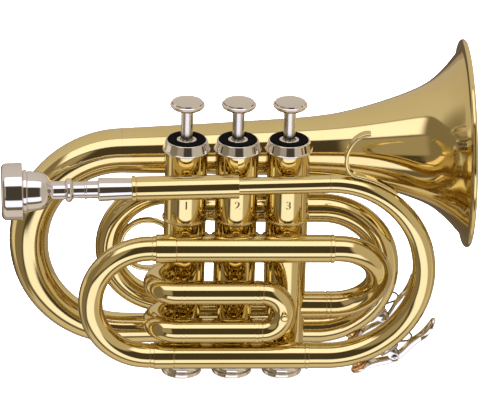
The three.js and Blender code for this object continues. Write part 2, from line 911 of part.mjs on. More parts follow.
// A slide is one crook with a leg in each of its two sleeves
function slide({ start, heading, towards, spread, legReach, gap, crookRadius, legRadii, ring }) {
  const route = new Route(start, heading)
    .ahead(legReach + gap)
    .bend(towards, spread / 2, Math.PI)
    .ahead(legReach + gap)
  const end = route.length
  const ringRadius = crookRadius + ferruleStandOut
  const outside = [
    [0, legRadii[0]],
    [legReach, legRadii[0]],
    [legReach, ringRadius],
    [legReach + ring, ringRadius],
    [legReach + ring, crookRadius],
    [end - legReach - ring, crookRadius],
    [end - legReach - ring, ringRadius],
    [end - legReach, ringRadius],
    [end - legReach, legRadii[1]],
    [end, legRadii[1]],
  ]
  const bore = Math.min(...legRadii) - tubeWall
  return pipe(route, outside, [[0, bore], [end, bore]])
}

const legIn = (sleeveRadius) => sleeveRadius - tubeWall - slideClearance
const tuningSlide = slide({
  start: vec(lowerSleeveLeft + tuningLegReach, frontDepth, upperFrontHeight),
  heading: left,
  towards: down,
  spread: upperFrontHeight - lowerFrontHeight,
  legReach: tuningLegReach + solderGap,
  gap: tuningCrookGap - solderGap,
  crookRadius: tuningCrookRadius,
  legRadii: [legIn(upperSleeveRadius), legIn(lowerSleeveRadius)],
  ring: ferruleRing,
})
piece('tuning_slide', tuningSlide, lacqueredBrass)

function entryCrook() {
  const start = vec(upperSleeveRight + solderGap, frontDepth, upperFrontHeight)
  const across = vec(0, -frontDepth, entryHeight - upperFrontHeight)
  const leg = upperSleeveRight + entryCrookGap - valveX(3)
  const route = new Route(start, xAxis)
    .ahead(entryCrookGap - solderGap)
    .bend(across, across.length() / 2, Math.PI)
    .ahead(leg)
  const end = route.length
  const legMark = end - leg + ferruleRing
  const ringRadius = entryRadius + ferruleStandOut
  const outside = [
    [0, entryRadius],
    [legMark, entryRadius],
    [legMark, ringRadius],
    [legMark + ferruleRing, ringRadius],
    [legMark + ferruleRing, entryRadius],
    [end, entryRadius],
  ]
  const bore = entryRadius - tubeWall
  return pipe(route, outside, [[0, bore], [end, bore]]).subtract(casingRoom(3))
}
piece('entry_crook', entryCrook(), lacqueredBrass)

// First slide: two knuckles lead out of valve one and round to the front
function firstKnuckle(height) {
  const start = vec(valveX(1) - firstKnuckleReach, 0, height)
  const route = new Route(start, left)
    .bend(front, -firstSlideDepth / 2, Math.PI)
    .ahead(firstSleeveRight - start.x)
  const end = route.length
  const mark = end - (firstSleeveRight - firstSleeveLeft)
  const ringRadius = firstTubeRadius + ferruleStandOut
  const outside = [
    [0, firstTubeRadius],
    [mark, firstTubeRadius],
    [mark, ringRadius],
    [mark + ferruleRing, ringRadius],
    [mark + ferruleRing, firstTubeRadius],
    [end - ferruleRing, firstTubeRadius],
    [end - ferruleRing, ringRadius],
    [end, ringRadius],
  ]
  const bore = firstTubeRadius - tubeWall
  return slidePipe(route, outside, [[0, bore], [end, bore]]).subtract(casingRoom(1))
}
piece('first_knuckle_upper', firstKnuckle(firstUpperHeight), lacqueredBrass)
piece('first_knuckle_lower', firstKnuckle(firstLowerHeight), lacqueredBrass)

const firstCrookRadius = firstTubeRadius - slideClearance / 2
const firstSlide = slide({
  start: vec(firstSleeveRight - firstLegReach, firstSlideDepth, firstUpperHeight),
  heading: xAxis,
  towards: down,
  spread: firstUpperHeight - firstLowerHeight,
  legReach: firstLegReach + solderGap,
  gap: firstCrookGap - solderGap,
  crookRadius: firstCrookRadius,
  legRadii: [legIn(firstTubeRadius), legIn(firstTubeRadius)],
  ring: ferruleRing,
})
piece('first_slide', firstSlide, lacqueredBrass)

function pullKnob() {
  const middle = (firstUpperHeight + firstLowerHeight) / 2
  const bend = (firstUpperHeight - firstLowerHeight) / 2
  const crookX = firstSleeveRight + firstCrookGap
  const placed = cylinderBetween(knobRadius, 0, knobLength)
    .rotate([90, 0, 0])
    .translate([crookX + bend, firstSlideDepth - firstCrookRadius + knobRadius / 2, middle])
  const room = rod(new Route(vec(crookX, firstSlideDepth, firstUpperHeight), xAxis)
    .bend(down, bend, Math.PI, fineBendStep), firstCrookRadius + solderGap, 2 * tubeSides)
  return placed.subtract(room)
}
piece('first_slide_knob', pullKnob(), lacqueredBrass)

// Second slide: straight back from valve two
function secondSleeve(height) {
  const route = straight(vec(0, 0, height), yAxis, casingRadius + secondSleeveLength)
  const end = route.length
  const ringRadius = secondTubeRadius + ferruleStandOut
  const outside = [
    [0, secondTubeRadius],
    [end - ferruleRing, secondTubeRadius],
    [end - ferruleRing, ringRadius],
    [end, ringRadius],
  ]
  const bore = secondTubeRadius - tubeWall
  return slidePipe(route, outside, [[0, bore], [end, bore]]).subtract(casingRoom(2))
}
piece('second_sleeve_upper', secondSleeve(secondUpperHeight), lacqueredBrass)
piece('second_sleeve_lower', secondSleeve(secondLowerHeight), lacqueredBrass)

const secondSlide = slide({
  start: vec(0, casingRadius + secondSleeveLength - secondLegReach, secondUpperHeight),
  heading: yAxis,
  towards: down,
  spread: secondUpperHeight - secondLowerHeight,
  legReach: secondLegReach + solderGap,
  gap: secondCrookGap,
  crookRadius: secondTubeRadius - slideClearance / 2,
  legRadii: [legIn(secondTubeRadius), legIn(secondTubeRadius)],
  ring: ferruleRing / 2,
})
piece('second_slide', secondSlide, lacqueredBrass)

// Third slide: behind valve three and along the back towards the bell
function thirdSleeve(route, name) {
  route.ahead(thirdSleeveRight - route.at.x)
  const end = route.length
  const ringRadius = thirdTubeRadius + ferruleStandOut
  const outside = [
    [0, thirdTubeRadius],
    [end - ferruleRing, thirdTubeRadius],
    [end - ferruleRing, ringRadius],
    [end, ringRadius],
  ]
  const bore = thirdTubeRadius - tubeWall
  piece(name, slidePipe(route, outside, [[0, bore], [end, bore]]).subtract(casingRoom(3)), lacqueredBrass)
}
thirdSleeve(new Route(vec(valveX(3), 0, thirdUpperHeight), yAxis)
  .ahead(thirdSlideDepth - thirdElbow)
  .bend(xAxis, thirdElbow, Math.PI / 2), 'third_knuckle_upper')
const thirdLowerTurn = vec(valveX(3) + thirdLowerElbow, thirdSlideDepth, thirdLowerHeight)
thirdSleeve(new Route(vec(valveX(3), 0, thirdLowerPort), yAxis)
  .ahead(casingRadius)
  .ease(thirdLowerTurn, xAxis, thirdHandleShare), 'third_knuckle_lower')

const thirdSlide = slide({
  start: vec(thirdSleeveRight - thirdLegReach, thirdSlideDepth, thirdUpperHeight),
  heading: xAxis,
  towards: down,
  spread: thirdUpperHeight - thirdLowerHeight,
  legReach: thirdLegReach + solderGap,
  gap: ferruleRing,
  crookRadius: thirdTubeRadius - slideClearance / 2,
  legRadii: [legIn(thirdTubeRadius), legIn(thirdTubeRadius)],
  ring: ferruleRing,
})
piece('third_slide', thirdSlide, lacqueredBrass)

// Bell: places from the rim as shares of its length, radii as shares from the tail to the rim
const bellFlareShares = [
  [0, 1], [0.028, 0.8], [0.07, 0.605], [0.114, 0.455], [0.19, 0.323],
  [0.336, 0.155], [0.424, 0.096], [0.66, 0.043], [1, 0],
]
const bellLength = bellRimX - bellBowX
const bellHeading = vec(-Math.cos(bellTilt), 0, -Math.sin(bellTilt))
const bellRimCentre = vec(bellRimX, bellDepth, bellRimHeight)

function bell() {
  const route = straight(bellRimCentre, bellHeading, bellLength)
  const marks = bellFlareShares.map(([place, width]) => vec(place * bellLength,
    THREE.MathUtils.lerp(bellTailRadius, bellRimRadius, width), 0))
  const smooth = new THREE.CatmullRomCurve3(marks, false, 'centripetal').getPoints(bellRings)
  const wall = smooth.map(({ x, y }) => [x, y])
  const outside = [
    [0, bellRimRadius - bellBead / 2],
    [bellBead / 2, bellRimRadius + bellBead / 2],
    [1.5 * bellBead, bellRimRadius + bellBead / 2],
    ...wall.filter(([place]) => place > 2 * bellBead),
  ]
  const inside = wall.map(([place, radius]) => [place, radius - bellWall])
  return pipe(route, outside, inside, bellSides)
}
piece('bell', bell(), lacqueredBrass)

// Bell bow: round the left end and down to the bottom tube behind the valves
const bellTail = bellRimCentre.clone().addScaledVector(bellHeading, bellLength + solderGap)
const bellBowEnd = vec(bellTail.x, rearDepth, rearLowHeight)
const bellBowAcross = bellBowEnd.clone().sub(bellTail)
const bellBowRoute = new Route(bellTail, bellHeading)
  .bend(bellBowAcross, bellBowAcross.length() / 2, Math.PI - bellTilt, wideBendStep)
  .ease(vec(rearJointX, rearDepth, rearLowHeight), xAxis, bellBowHandleShare)

function bellBow() {
  const end = bellBowRoute.length
  const half = bellBowRoute.stretches[0].length / 2
  const outside = [
    [0, bellTailRadius],
    [half, bellBowMiddle],
    [2 * half, rearLowRadius + tubeWall],
    [end, rearLowRadius],
  ]
  return pipe(bellBowRoute, outside, outside.map(([place, radius]) => [place, radius - tubeWall]))
}
piece('bell_bow', bellBow(), lacqueredBrass)

const rearBowCentre = vec(rearBowX, rearDepth, rearLowHeight + rearBowRadius)

function rearBow() {
  const route = new Route(vec(rearJointX + solderGap, rearDepth, rearLowHeight), xAxis)
    .ahead(rearBowX - rearJointX - solderGap)
    .bend(zAxis, rearBowRadius, Math.PI, wideBendStep)
    .ahead(rearBowX - rearRiseStart - solderGap)
  const end = route.length
  const outside = [
    [0, rearLowRadius + ferruleStandOut],
    [ferruleLength, rearLowRadius + ferruleStandOut],
    [ferruleLength, rearLowRadius],
    [end / 2, rearTubeRadius],
    [end, rearTubeRadius],
  ]
  const bore = rearTubeRadius - tubeWall
  const tube = pipe(route, outside, [[0, rearLowRadius - tubeWall], [end / 2, bore], [end, bore]])
  return withNipple(tube, rearBowCentre, rearBowRadius, rearTubeRadius, rearKeyAngle)
}
piece('rear_bow', rearBow(), lacqueredBrass)

function rearBranch() {
  const joint = vec(rearRiseStart, rearDepth, rearLowHeight + 2 * rearBowRadius)
  const route = new Route(joint, left)
    .ease(vec(rearRiseEnd, rearDepth, rearLoopTop), left)
    .ahead(rearRiseEnd - valveX(1) + rearElbow)
    .bend(down, (rearLoopTop - rearEntryHeight) / 2, Math.PI)
    .bend(front, rearElbow, Math.PI / 2)
    .ahead(casingRadius)
  const end = route.length
  const ringRadius = rearTubeRadius + ferruleStandOut
  const outside = [
    [0, ringRadius],
    [ferruleRing, ringRadius],
    [ferruleRing, rearTubeRadius],
    [end, rearTubeRadius],
  ]
  const bore = rearTubeRadius - tubeWall
  return pipe(route, outside, [[0, bore], [end, bore]]).subtract(casingRoom(1))
}
piece('rear_branch', rearBranch(), lacqueredBrass)

// Thumb ring: a flat band that lies against the side of valve one
function thumbRing() {
  const inside = thumbRingRadius - thumbRingWall
  const half = thumbRingWidth / 2
  const band = turned([
    [inside, -half],
    [thumbRingRadius, -half],
    [thumbRingRadius, half],
    [inside, half],
  ])
  return band.rotate([90, 0, 0])
    .translate([valveX(1) - casingRadius - thumbRingReach, thumbRingDepth, thumbRingHeight])
    .subtract(casingRoom(1))
}
piece('thumb_ring', thumbRing(), lacqueredBrass)

// A flat band swept along a curve that lies in an upright plane
function band(curve, width, thickness, steps) {
  const round = thickness / 4
  const outline = new THREE.Shape([
    new THREE.Vector2(-width / 2, -thickness / 2 + round),
    new THREE.Vector2(-width / 2 + round, -thickness / 2),
    new THREE.Vector2(width / 2 - round, -thickness / 2),
    new THREE.Vector2(width / 2, -thickness / 2 + round),
    new THREE.Vector2(width / 2, thickness / 2 - round),
    new THREE.Vector2(width / 2 - round, thickness / 2),
    new THREE.Vector2(-width / 2 + round, thickness / 2),
    new THREE.Vector2(-width / 2, thickness / 2 - round),
  ])
  return solid(new THREE.ExtrudeGeometry(outline, { extrudePath: curve, steps, bevelEnabled: false }))
}

function fingerHook() {
  const tubeThere = radiusAt(leadBowOutside, leadBowRadius * (hookFootStart + leadTilt), false)
  const seat = leadBowRadius + tubeThere + solderGap + hookThickness / 2
  const footStart = leadBowCentre.clone()
    .add(vec(Math.sin(hookFootStart), 0, Math.cos(hookFootStart)).multiplyScalar(seat))
  const heading = vec(-Math.cos(hookFootStart), 0, Math.sin(hookFootStart))
  const towards = leadBowCentre.clone().sub(footStart)
  const foot = new Bend(footStart, heading, towards, seat, hookFootStart - hookFootEnd)
  const rise = foot.getPoint(1)
  const back = vec(hookBackX, frontDepth, hookBackHeight)
  const tip = vec(hookTipX, frontDepth, hookTipHeight)
  const climb = (hookBackHeight - rise.z) / 2
  const reach = (hookTipHeight - hookBackHeight) / 2
  const curve = new THREE.CurvePath()
  curve.add(foot)
  curve.add(new THREE.CubicBezierCurve3(rise, rise.clone().addScaledVector(foot.getTangent(1), climb),
    back.clone().addScaledVector(zAxis, -climb), back))
  curve.add(new THREE.CubicBezierCurve3(back, back.clone().addScaledVector(zAxis, reach),
    tip.clone().addScaledVector(xAxis, -reach), tip))
  return band(curve, hookWidth, hookThickness, hookSteps)
}
piece('finger_hook', fingerHook(), lacqueredBrass)

// The spring's leg beside the lever: places as shares of its reach, heights as shares of the arm's height
const keySpringLegShares = [[0.3, 0.46], [0.78, 0.94], [0.95, 0.82], [1, 0.55], [0.95, 0.2], [0.85, 0.05]]

// Water keys: built about the hinge foot with +X along the tube towards the paddle, +Z out of the tube
function waterKey(number, bowCentre, bowRadius, tubeRadius, angle) {
  const surface = bowRadius + tubeRadius
  const key = new THREE.Group()
  const outwards = vec(Math.sin(angle), 0, -Math.cos(angle))
  const alongTube = vec(Math.cos(angle), 0, Math.sin(angle))
  key.position.copy(bowCentre).addScaledVector(outwards, surface)
  key.quaternion.setFromRotationMatrix(new THREE.Matrix4().makeBasis(alongTube, front, outwards))
  trumpet.add(key)

  const bowRoom = rod(new Route(vec(-bowRadius, 0, -surface), zAxis)
    .bend(xAxis, bowRadius, Math.PI, fineBendStep), tubeRadius + solderGap, 2 * tubeSides)

  const earReach = keyBarrelLength / 2 + keyRunningGap
  const earOuter = earReach + keyEarThickness
  const halfFoot = keyFootLength / 2
  let saddle = block(vec(-halfFoot, -earOuter, -tubeRadius), vec(halfFoot, earOuter, keyFootThickness))
  for (const side of [-1, 1]) {
    const near = side * earReach
    const far = side * earOuter
    const low = vec(-keyEarWidth / 2, Math.min(near, far), 0)
    const high = vec(keyEarWidth / 2, Math.max(near, far), keyPinHeight)
    const crown = new THREE.CylinderGeometry(keyEarWidth / 2, keyEarWidth / 2, keyEarThickness, tubeSides)
      .translate(0, (near + far) / 2, 0)
      .translate(0, 0, keyPinHeight)
    saddle = saddle.add(block(low, high)).add(solid(crown))
  }
  const pin = straight(vec(0, -earOuter, keyPinHeight), yAxis, 2 * earOuter)
  const head = straight(vec(0, earOuter, keyPinHeight), yAxis, keyHeadLength)
  saddle = saddle.add(rod(pin, keyPinRadius)).add(rod(head, keyHeadRadius)).subtract(bowRoom)
  piece(`water_key_saddle_${number}`, saddle, nickelSilver, key)

  const cupFoot = corkSeat + keyCorkHeight / 2
  const cupRadius = keyCorkRadius + keyRunningGap + keyCupWall
  const cup = turned([
    [keyCorkRadius + keyRunningGap, cupFoot],
    [cupRadius, cupFoot],
    [cupRadius - keyCupWall, corkTop + keyRunningGap + keyCupWall],
    [cupRadius / 2, corkTop + keyRunningGap + keyCupCrown],
    [0, corkTop + keyRunningGap + keyCupCrown],
    [0, corkTop + keyRunningGap],
    [keyCorkRadius + keyRunningGap, corkTop + keyRunningGap],
  ]).translate([-keyCorkReach, 0, 0])
  const armHeight = keyPinHeight + keyArmRise
  const follow = (place) => armHeight + keyArmFollow * drop(place)
  const cupTop = vec(keyCorkRadius / 2 - keyCorkReach, 0, corkTop + 2 * keyRunningGap + keyArmThickness / 2)
  const paddleStart = keyPaddleReach - keyPaddleLength
  const shoulder = vec(paddleStart, 0, follow(paddleStart))
  const arm = new THREE.CurvePath()
  const armEase = keyCorkReach / 3
  arm.add(new THREE.CubicBezierCurve3(cupTop, cupTop.clone().addScaledVector(xAxis, armEase),
    vec(-armEase, 0, armHeight), vec(0, 0, armHeight)))
  arm.add(new THREE.CubicBezierCurve3(vec(0, 0, armHeight), vec(paddleStart / 2, 0, armHeight),
    vec(paddleStart / 2, 0, shoulder.z), shoulder))
  const paddle = new THREE.QuadraticBezierCurve3(
    vec(paddleStart - keyArmWidth / 2, 0, shoulder.z),
    vec(paddleStart + keyPaddleLength / 2, 0, shoulder.z),
    vec(keyPaddleReach, 0, follow(keyPaddleReach)))
  const barrelRoute = straight(vec(0, -keyBarrelLength / 2, keyPinHeight), yAxis, keyBarrelLength)
  let lever = rod(barrelRoute, keyBarrelRadius)
    .add(cup)
    .add(band(arm, keyArmWidth, keyArmThickness, bandSteps))
    .add(band(paddle, keyPaddleWidth, keyPaddleThickness, paddleSteps))
  const bore = straight(vec(0, -keyBarrelLength, keyPinHeight), yAxis, 2 * keyBarrelLength)
  lever = lever.subtract(rod(bore, keyPinRadius + keyRunningGap))
  piece(`water_key_lever_${number}`, lever, nickelSilver, key)

  const cork = turned([
    [0, corkSeat],
    [keyCorkRadius - keyNippleRise / 2, corkSeat],
    [keyCorkRadius, corkSeat + keyNippleRise / 2],
    [keyCorkRadius, corkTop],
    [0, corkTop],
  ]).translate([-keyCorkReach, 0, 0])
  piece(`water_key_cork_${number}`, cork, corkBrown, key)

  // The spring coils round the pin beside the far ear; its leg runs out beside the lever and hooks back
  const coilRadius = keyPinRadius + 2 * keySpringWire
  const coilStart = earOuter + keyRunningGap + keySpringWire
  const coil = helix(coilRadius, keySpringTurns, 0, keySpringPitch * keySpringTurns, coilSteps)
  console.log('least gap of a water key spring', leastGap(coil, keySpringWire, coilSteps).toFixed(2))
  const points = coil.map(({ x, y, z }) => vec(y, -coilStart - z, keyPinHeight - x))
  const last = points.at(-1)
  const hooked = keySpringLegShares.map(([out, up]) => vec(out * keySpringReach, last.y, up * armHeight))
  const leg = new THREE.CatmullRomCurve3([last, ...hooked])
  points.push(...leg.getPoints(legSteps).slice(1))
  piece(`water_key_spring_${number}`, wireThrough(points, keySpringWire, wireSides), springSteel, key)
}
waterKey(1, leadBowCentre, leadBowRadius, leadBowEnd, frontKeyAngle)
waterKey(2, rearBowCentre, rearBowRadius, rearTubeRadius, rearKeyAngle)

export default trumpet
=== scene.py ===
"""Pocket trumpet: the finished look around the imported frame.

Lengths are millimetres in the same frame as the CAD, and are scaled to metres where a mesh is made.
+Z is up, +X runs towards the bell and -Y faces the camera.
"""
from math import ceil, cos, pi, radians, sin, sqrt

import bpy
import bmesh
from mathutils import Matrix, Vector


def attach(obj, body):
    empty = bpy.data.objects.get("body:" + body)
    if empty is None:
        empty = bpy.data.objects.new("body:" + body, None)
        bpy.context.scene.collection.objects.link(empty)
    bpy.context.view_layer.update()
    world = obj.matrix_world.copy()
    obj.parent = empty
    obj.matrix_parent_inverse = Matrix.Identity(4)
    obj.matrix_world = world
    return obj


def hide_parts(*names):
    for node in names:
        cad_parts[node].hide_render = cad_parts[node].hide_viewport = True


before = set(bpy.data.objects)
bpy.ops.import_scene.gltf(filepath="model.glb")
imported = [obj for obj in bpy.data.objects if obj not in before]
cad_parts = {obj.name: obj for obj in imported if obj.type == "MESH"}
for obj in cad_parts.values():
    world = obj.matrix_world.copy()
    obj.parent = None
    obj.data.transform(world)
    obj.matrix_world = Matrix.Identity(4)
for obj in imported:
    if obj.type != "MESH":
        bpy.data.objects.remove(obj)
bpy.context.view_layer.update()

MM = 0.001
X_AXIS = Vector((1, 0, 0))
Y_AXIS = Vector((0, 1, 0))
Z_AXIS = Vector((0, 0, 1))

# How finely the meshes are made
BEND_STEP = radians(3)
EASE_STEPS = 22
TUBE_SIDES = 44
TURN_SIDES = 72
WIRE_SIDES = 12
BELL_SIDES = 128
RING_SIDES = 96
KEY_SIDES = 48
SMALL_SIDES = 36
SHARP_ANGLE = radians(38)
BAND_SHARP_ANGLE = radians(50)
EDGE_ROUND = 0.16
SAME_PLACE = 0.001
EDGE_SUPPORT = 0.4
LONG_SPAN = 3

# Soldered and sliding joints
TUBE_WALL = 0.55
SLIDE_CLEARANCE = 0.35
SEAM_GAP = 0.05
COPE_DEPTH = 0.12

# Valve cluster
VALVE_PITCH = 23.6
CASING_RADIUS = 9.8
PORT_DEPTH = 4
CASING_ENTRY = CASING_RADIUS - PORT_DEPTH
CASING_WALL = 0.9
CASING_TOP = 116
SEAM_HEIGHT = 79.6
BOTTOM_CAP_HEIGHT = 7.6
BOTTOM_CAP_FLANGE = 9.4
TOP_CAP_FOOT = 113.4
TOP_CAP_RADIUS = 10.95
TOP_CAP_TOP = 118.6
TOP_CAP_BAND = 1.1
TOP_CAP_CROWN = 9.3
FELT_RADIUS = 8.8
FELT_FOOT = 117.5
FELT_TOP = 119.2
CAP_NECK_RADIUS = 4.6
CAP_NECK_TOP = 118.9
STEM_RADIUS = 2.8
STEM_HOLE = 3.1
PISTON_TOP = 82
STEM_NECK = 2
SPRING_PLATE_FOOT = 109.6
SPRING_PLATE_TOP = 111
SPRING_PLATE_RADIUS = 7.6
BUTTON_FOOT = 134
BUTTON_TOP = 137.6
BUTTON_RADIUS = 8
BRACE_HEIGHT = 69
BRACE_RADIUS = 1.5
BRACE_FLANGE = 2.6
PORT_HEIGHT = 31
CONNECTOR_RADIUS = 6.2
DIGIT_HEIGHT = 89.6
DIGIT_SIZE = 5.5

# Depths of the planes that the tubing lies in
FRONT_PLANE = -17
FIRST_SLIDE_PLANE = -20
REAR_PLANE = 17
THIRD_SLIDE_PLANE = 30
BELL_PLANE = 26

# Mouthpiece, receiver, leadpipe and lead bow
LEAD_TILT = radians(1.55)
MOUTHPIECE_LENGTH = 85.6
MOUTHPIECE_RIM = 13.1
MOUTHPIECE_INSERT = 26
RECEIVER_RADIUS = 5.7
RECEIVER_WALL = 0.5
RECEIVER_LENGTH = 49
RECEIVER_RING_WIDTH = 1.9
RECEIVER_TO_BOW = 42
LEADPIPE_RADIUS = 4.15
LEAD_BOW_RADIUS = 43.8
LEAD_BOW_X = 43
LEAD_BOW_MIDDLE = 5.5
LEAD_BOW_END = 6
LOWER_FRONT_HEIGHT = 16.2
LOWER_SLEEVE_RADIUS = 6.2
SLEEVE_LEFT = -37.5
LOWER_SLEEVE_RIGHT = 34.5

# Tuning slide, upper front tube and entry crook
UPPER_FRONT_HEIGHT = 71.1
UPPER_SLEEVE_RADIUS = 6.55
UPPER_SLEEVE_RIGHT = 44.7
TUNING_CROOK_GAP = 2.4
TUNING_CROOK_RADIUS = 5.75
TUNING_LEG_REACH = 30
ENTRY_CROOK_GAP = 2
ENTRY_HEIGHT = 34.5
ENTRY_RADIUS = 6.05
FERRULE_LENGTH = 9
FERRULE_RING = 1.6
FERRULE_STAND_OUT = 0.12
GROOVE_WIDTH = 0.42
GROOVE_DEPTH = 0.3
GROOVED_WALL = TUBE_WALL - GROOVE_DEPTH
CRISP_EDGE = 0.06
END_RING = (-FERRULE_RING, FERRULE_RING)

# First, second and third slides
FIRST_HEIGHTS = (50, 30.6)
FIRST_RADIUS = 5.7
FIRST_KNUCKLE_REACH = 3.5
FIRST_SLEEVE_LEFT = -25
FIRST_SLEEVE_RIGHT = 10.5
FIRST_CROOK_GAP = 1.9
FIRST_LEG_REACH = 26
KNOB_RADIUS = 2
KNOB_LENGTH = 3.4
SECOND_HEIGHTS = (47.6, 34)
SECOND_RADIUS = 5.2
SECOND_SLEEVE_END = 25.8
SECOND_LEG_REACH = 13
SECOND_CROOK_GAP = 1.2
THIRD_HEIGHTS = (48.2, 19.8)
THIRD_PORT = 28
THIRD_RADIUS = 5.3
THIRD_ELBOW = 10
THIRD_SLEEVE_RIGHT = 54
THIRD_LEG_REACH = 17
THIRD_LOWER_ELBOW = 13

# Bell and the tubing behind the valves
BELL_TILT = radians(1.4)
BELL_RIM_CENTRE = Vector((109.2, BELL_PLANE, 105.4))
BELL_RIM_RADIUS = 47.8
BELL_TAIL_RADIUS = 10.5
BELL_TAIL_X = -52.4
BELL_WALL = 0.7
BELL_BEAD = 1.15
BELL_BEAD_DEPTH = 1.25
BELL_BOW_MIDDLE = 9.15
REAR_LOW_HEIGHT = 13.9
REAR_LOW_RADIUS = 6.4
REAR_JOINT_X = -18
REAR_BOW_X = 41.1
REAR_BOW_RADIUS = 31.2
REAR_TUBE_RADIUS = 5.9
REAR_RISE_START = -12
REAR_RISE_END = -29
REAR_LOOP_TOP = 84.6
REAR_ENTRY_HEIGHT = 28.9
REAR_ELBOW = 7

# Thumb ring and finger hook. A corner is a share of the bar's lesser side, here and in the water keys.
RING_CENTRE = Vector((-40.3, 8.6, 61.5))
RING_RADIUS = 13.3
RING_WALL = 1.9
RING_WIDTH = 4.2
RING_CORNER = 0.42
HOOK_WIDTH = 5
HOOK_THICKNESS = 1.7
HOOK_CORNER = 0.45
HOOK_FOOT_START = radians(37)
HOOK_FOOT_END = radians(13)
HOOK_BACK = Vector((48.7, FRONT_PLANE, 116))
HOOK_TIP = Vector((59.4, FRONT_PLANE, 129))

# Water keys
KEY_ANGLES = (radians(36.2), radians(51))
PIN_HEIGHT = 3.9
HEAD_RADIUS = 1.75
HEAD_LENGTH = 0.6
BARREL_RADIUS = 1.7
BARREL_LENGTH = 5
EAR_THICKNESS = 1.1
EAR_WIDTH = 4.4
EAR_DEPTH = 2
SLOT_WIDTH = 0.44
SLOT_TURN = radians(-60)
SADDLE_LENGTH = 9
SADDLE_WRAP = 38
SADDLE_RISE = 1.1
SADDLE_SINK = 0.3
RUNNING_GAP = 0.3
ARM_WIDTH = 4.6
ARM_THICKNESS = 2.7
ARM_CORNER = 0.2
ARM_RISE = 1.5
ARM_FOLLOW = 0.85
CORK_REACH = 15.8
CORK_RADIUS = 4.2
CORK_HEIGHT = 1.3
CUP_WALL = 0.6
CUP_CROWN = 0.9
NIPPLE_RISE = 0.35
NIPPLE_RADIUS = 2.9
NIPPLE_BORE = 1.4
NIPPLE_DEPTH = 1.5
PADDLE_REACH = 25.6
PADDLE_LENGTH = 11
PADDLE_WIDTH = 7
PADDLE_DISH = 0.8
KEY_WIRE = 0.46
KEY_COIL_BORE = 1
KEY_TURNS = 2
KEY_COIL_LENGTH = 2.2
KEY_SPRING_REACH = 10.8

# The photograph's camera: two metres away, a little above and slightly to the left
PICTURE_SIZE = (480, 420)
CAMERA_DISTANCE = 2000
CAMERA_ELEVATION = radians(24.6)
CAMERA_YAW = radians(3.98)
CAMERA_ROLL = radians(1.69)
CAMERA_TARGET = Vector((0, 0, 60))
TARGET_PIXEL = (234.65, 254.7)
MM_PER_PIXEL = 0.465
SENSOR_WIDTH = 36


class Route:
    """A tube's centre line, laid out piece by piece from its start."""

    def __init__(self, start, heading):
        self.points = [Vector(start)]
        self.alongs = [Vector(heading).normalized()]
        self.places = [0.0]

    @property
    def at(self):
        return self.points[-1]

    @property
    def length(self):
        return self.places[-1]

    def put(self, point, along):
        self.places.append(self.length + (point - self.at).length)
        self.points.append(point)
        self.alongs.append(along.normalized())

    def ahead(self, length):
        self.put(self.at + self.alongs[-1] * length, self.alongs[-1])
        return self

    def bend(self, towards, radius, angle):
        heading = self.alongs[-1].copy()
        side = (Vector(towards) - heading * heading.dot(Vector(towards))).normalized()
        centre = self.at + side * radius
        steps = max(4, ceil(angle / BEND_STEP))
        for i in range(1, steps + 1):
            turned = angle * i / steps
            self.put(
                centre - side * radius * cos(turned) + heading * radius * sin(turned),
                heading * cos(turned) + side * sin(turned),
            )
        return self

    def ease(self, end, heading, handle_share=0.45):
        """An easy curve to a point and heading, its handles a share of the distance."""
        end = Vector(end)
        heading = Vector(heading)
        start = self.at.copy()
        reach = (end - start).length * handle_share
        marks = [start, start + self.alongs[-1] * reach, end - heading * reach, end]
        for point, along in bezier(marks, EASE_STEPS)[1:]:
            self.put(point, along)
        return self

    def station(self, distance):
        """The point and direction at a distance along the line."""
        low = 0
        while low < len(self.places) - 2 and self.places[low + 1] < distance:
            low += 1
        span = self.places[low + 1] - self.places[low]
        share = min(max((distance - self.places[low]) / span, 0), 1)
        point = self.points[low].lerp(self.points[low + 1], share)
        return point, self.alongs[low].lerp(self.alongs[low + 1], share).normalized()


def bezier(marks, steps):
    """Points and directions along a cubic curve through four marks."""
    a, b, c, d = marks
    made = []
    for i in range(steps + 1):
        t = i / steps
        s = 1 - t
        point = a * s ** 3 + b * 3 * s * s * t + c * 3 * s * t * t + d * t ** 3
        along = (b - a) * s * s + (c - b) * 2 * s * t + (d - c) * t * t
        made.append((point, along.normalized()))
    return made


def smooth_through(marks, steps):
    """A smooth outline through marks, as a centripetal Catmull-Rom curve with some steps in each span."""
    marks = [Vector(m) for m in marks]
    padded = [marks[0] * 2 - marks[1], *marks, marks[-1] * 2 - marks[-2]]
    made = []
    for i in range(1, len(padded) - 2):
        p0, p1, p2, p3 = padded[i - 1:i + 3]
        d0, d1, d2 = [max(sqrt((q - p).length), SAME_PLACE) for p, q in ((p0, p1), (p1, p2), (p2, p3))]
        m1 = (p1 - p0) / d0 - (p2 - p0) / (d0 + d1) + (p2 - p1) / d1
        m2 = (p2 - p1) / d1 - (p3 - p1) / (d1 + d2) + (p3 - p2) / d2
        for k in range(steps):
            t = k / steps
            made.append(
                p1 * (2 * t ** 3 - 3 * t ** 2 + 1) + m1 * d1 * (t ** 3 - 2 * t ** 2 + t)
                + p2 * (3 * t ** 2 - 2 * t ** 3) + m2 * d1 * (t ** 3 - t ** 2)
            )
    made.append(marks[-1])
    return made


def straight(start, heading, length):
    return Route(start, heading).ahead(length)


def start_normal(along):
    guide = Z_AXIS if abs(along.z) < 0.9 else X_AXIS
    return (guide - along * guide.dot(along)).normalized()


def carried(stations):
    """Stations of (point, direction), each with a normal that is carried on from the one before."""
    made = []
    for point, along in stations:
        normal = last.rotation_difference(along) @ normal if made else start_normal(along)
        last = along
        made.append((point, along, normal))
    return made


def circle(point, along, normal, radius, sides):
    """Points round a direction, the first of them towards a normal."""
    across = along.cross(normal)
    made = []
    for i in range(sides):
        angle = 2 * pi * i / sides
        made.append(point + (normal * cos(angle) + across * sin(angle)) * radius)
    return made


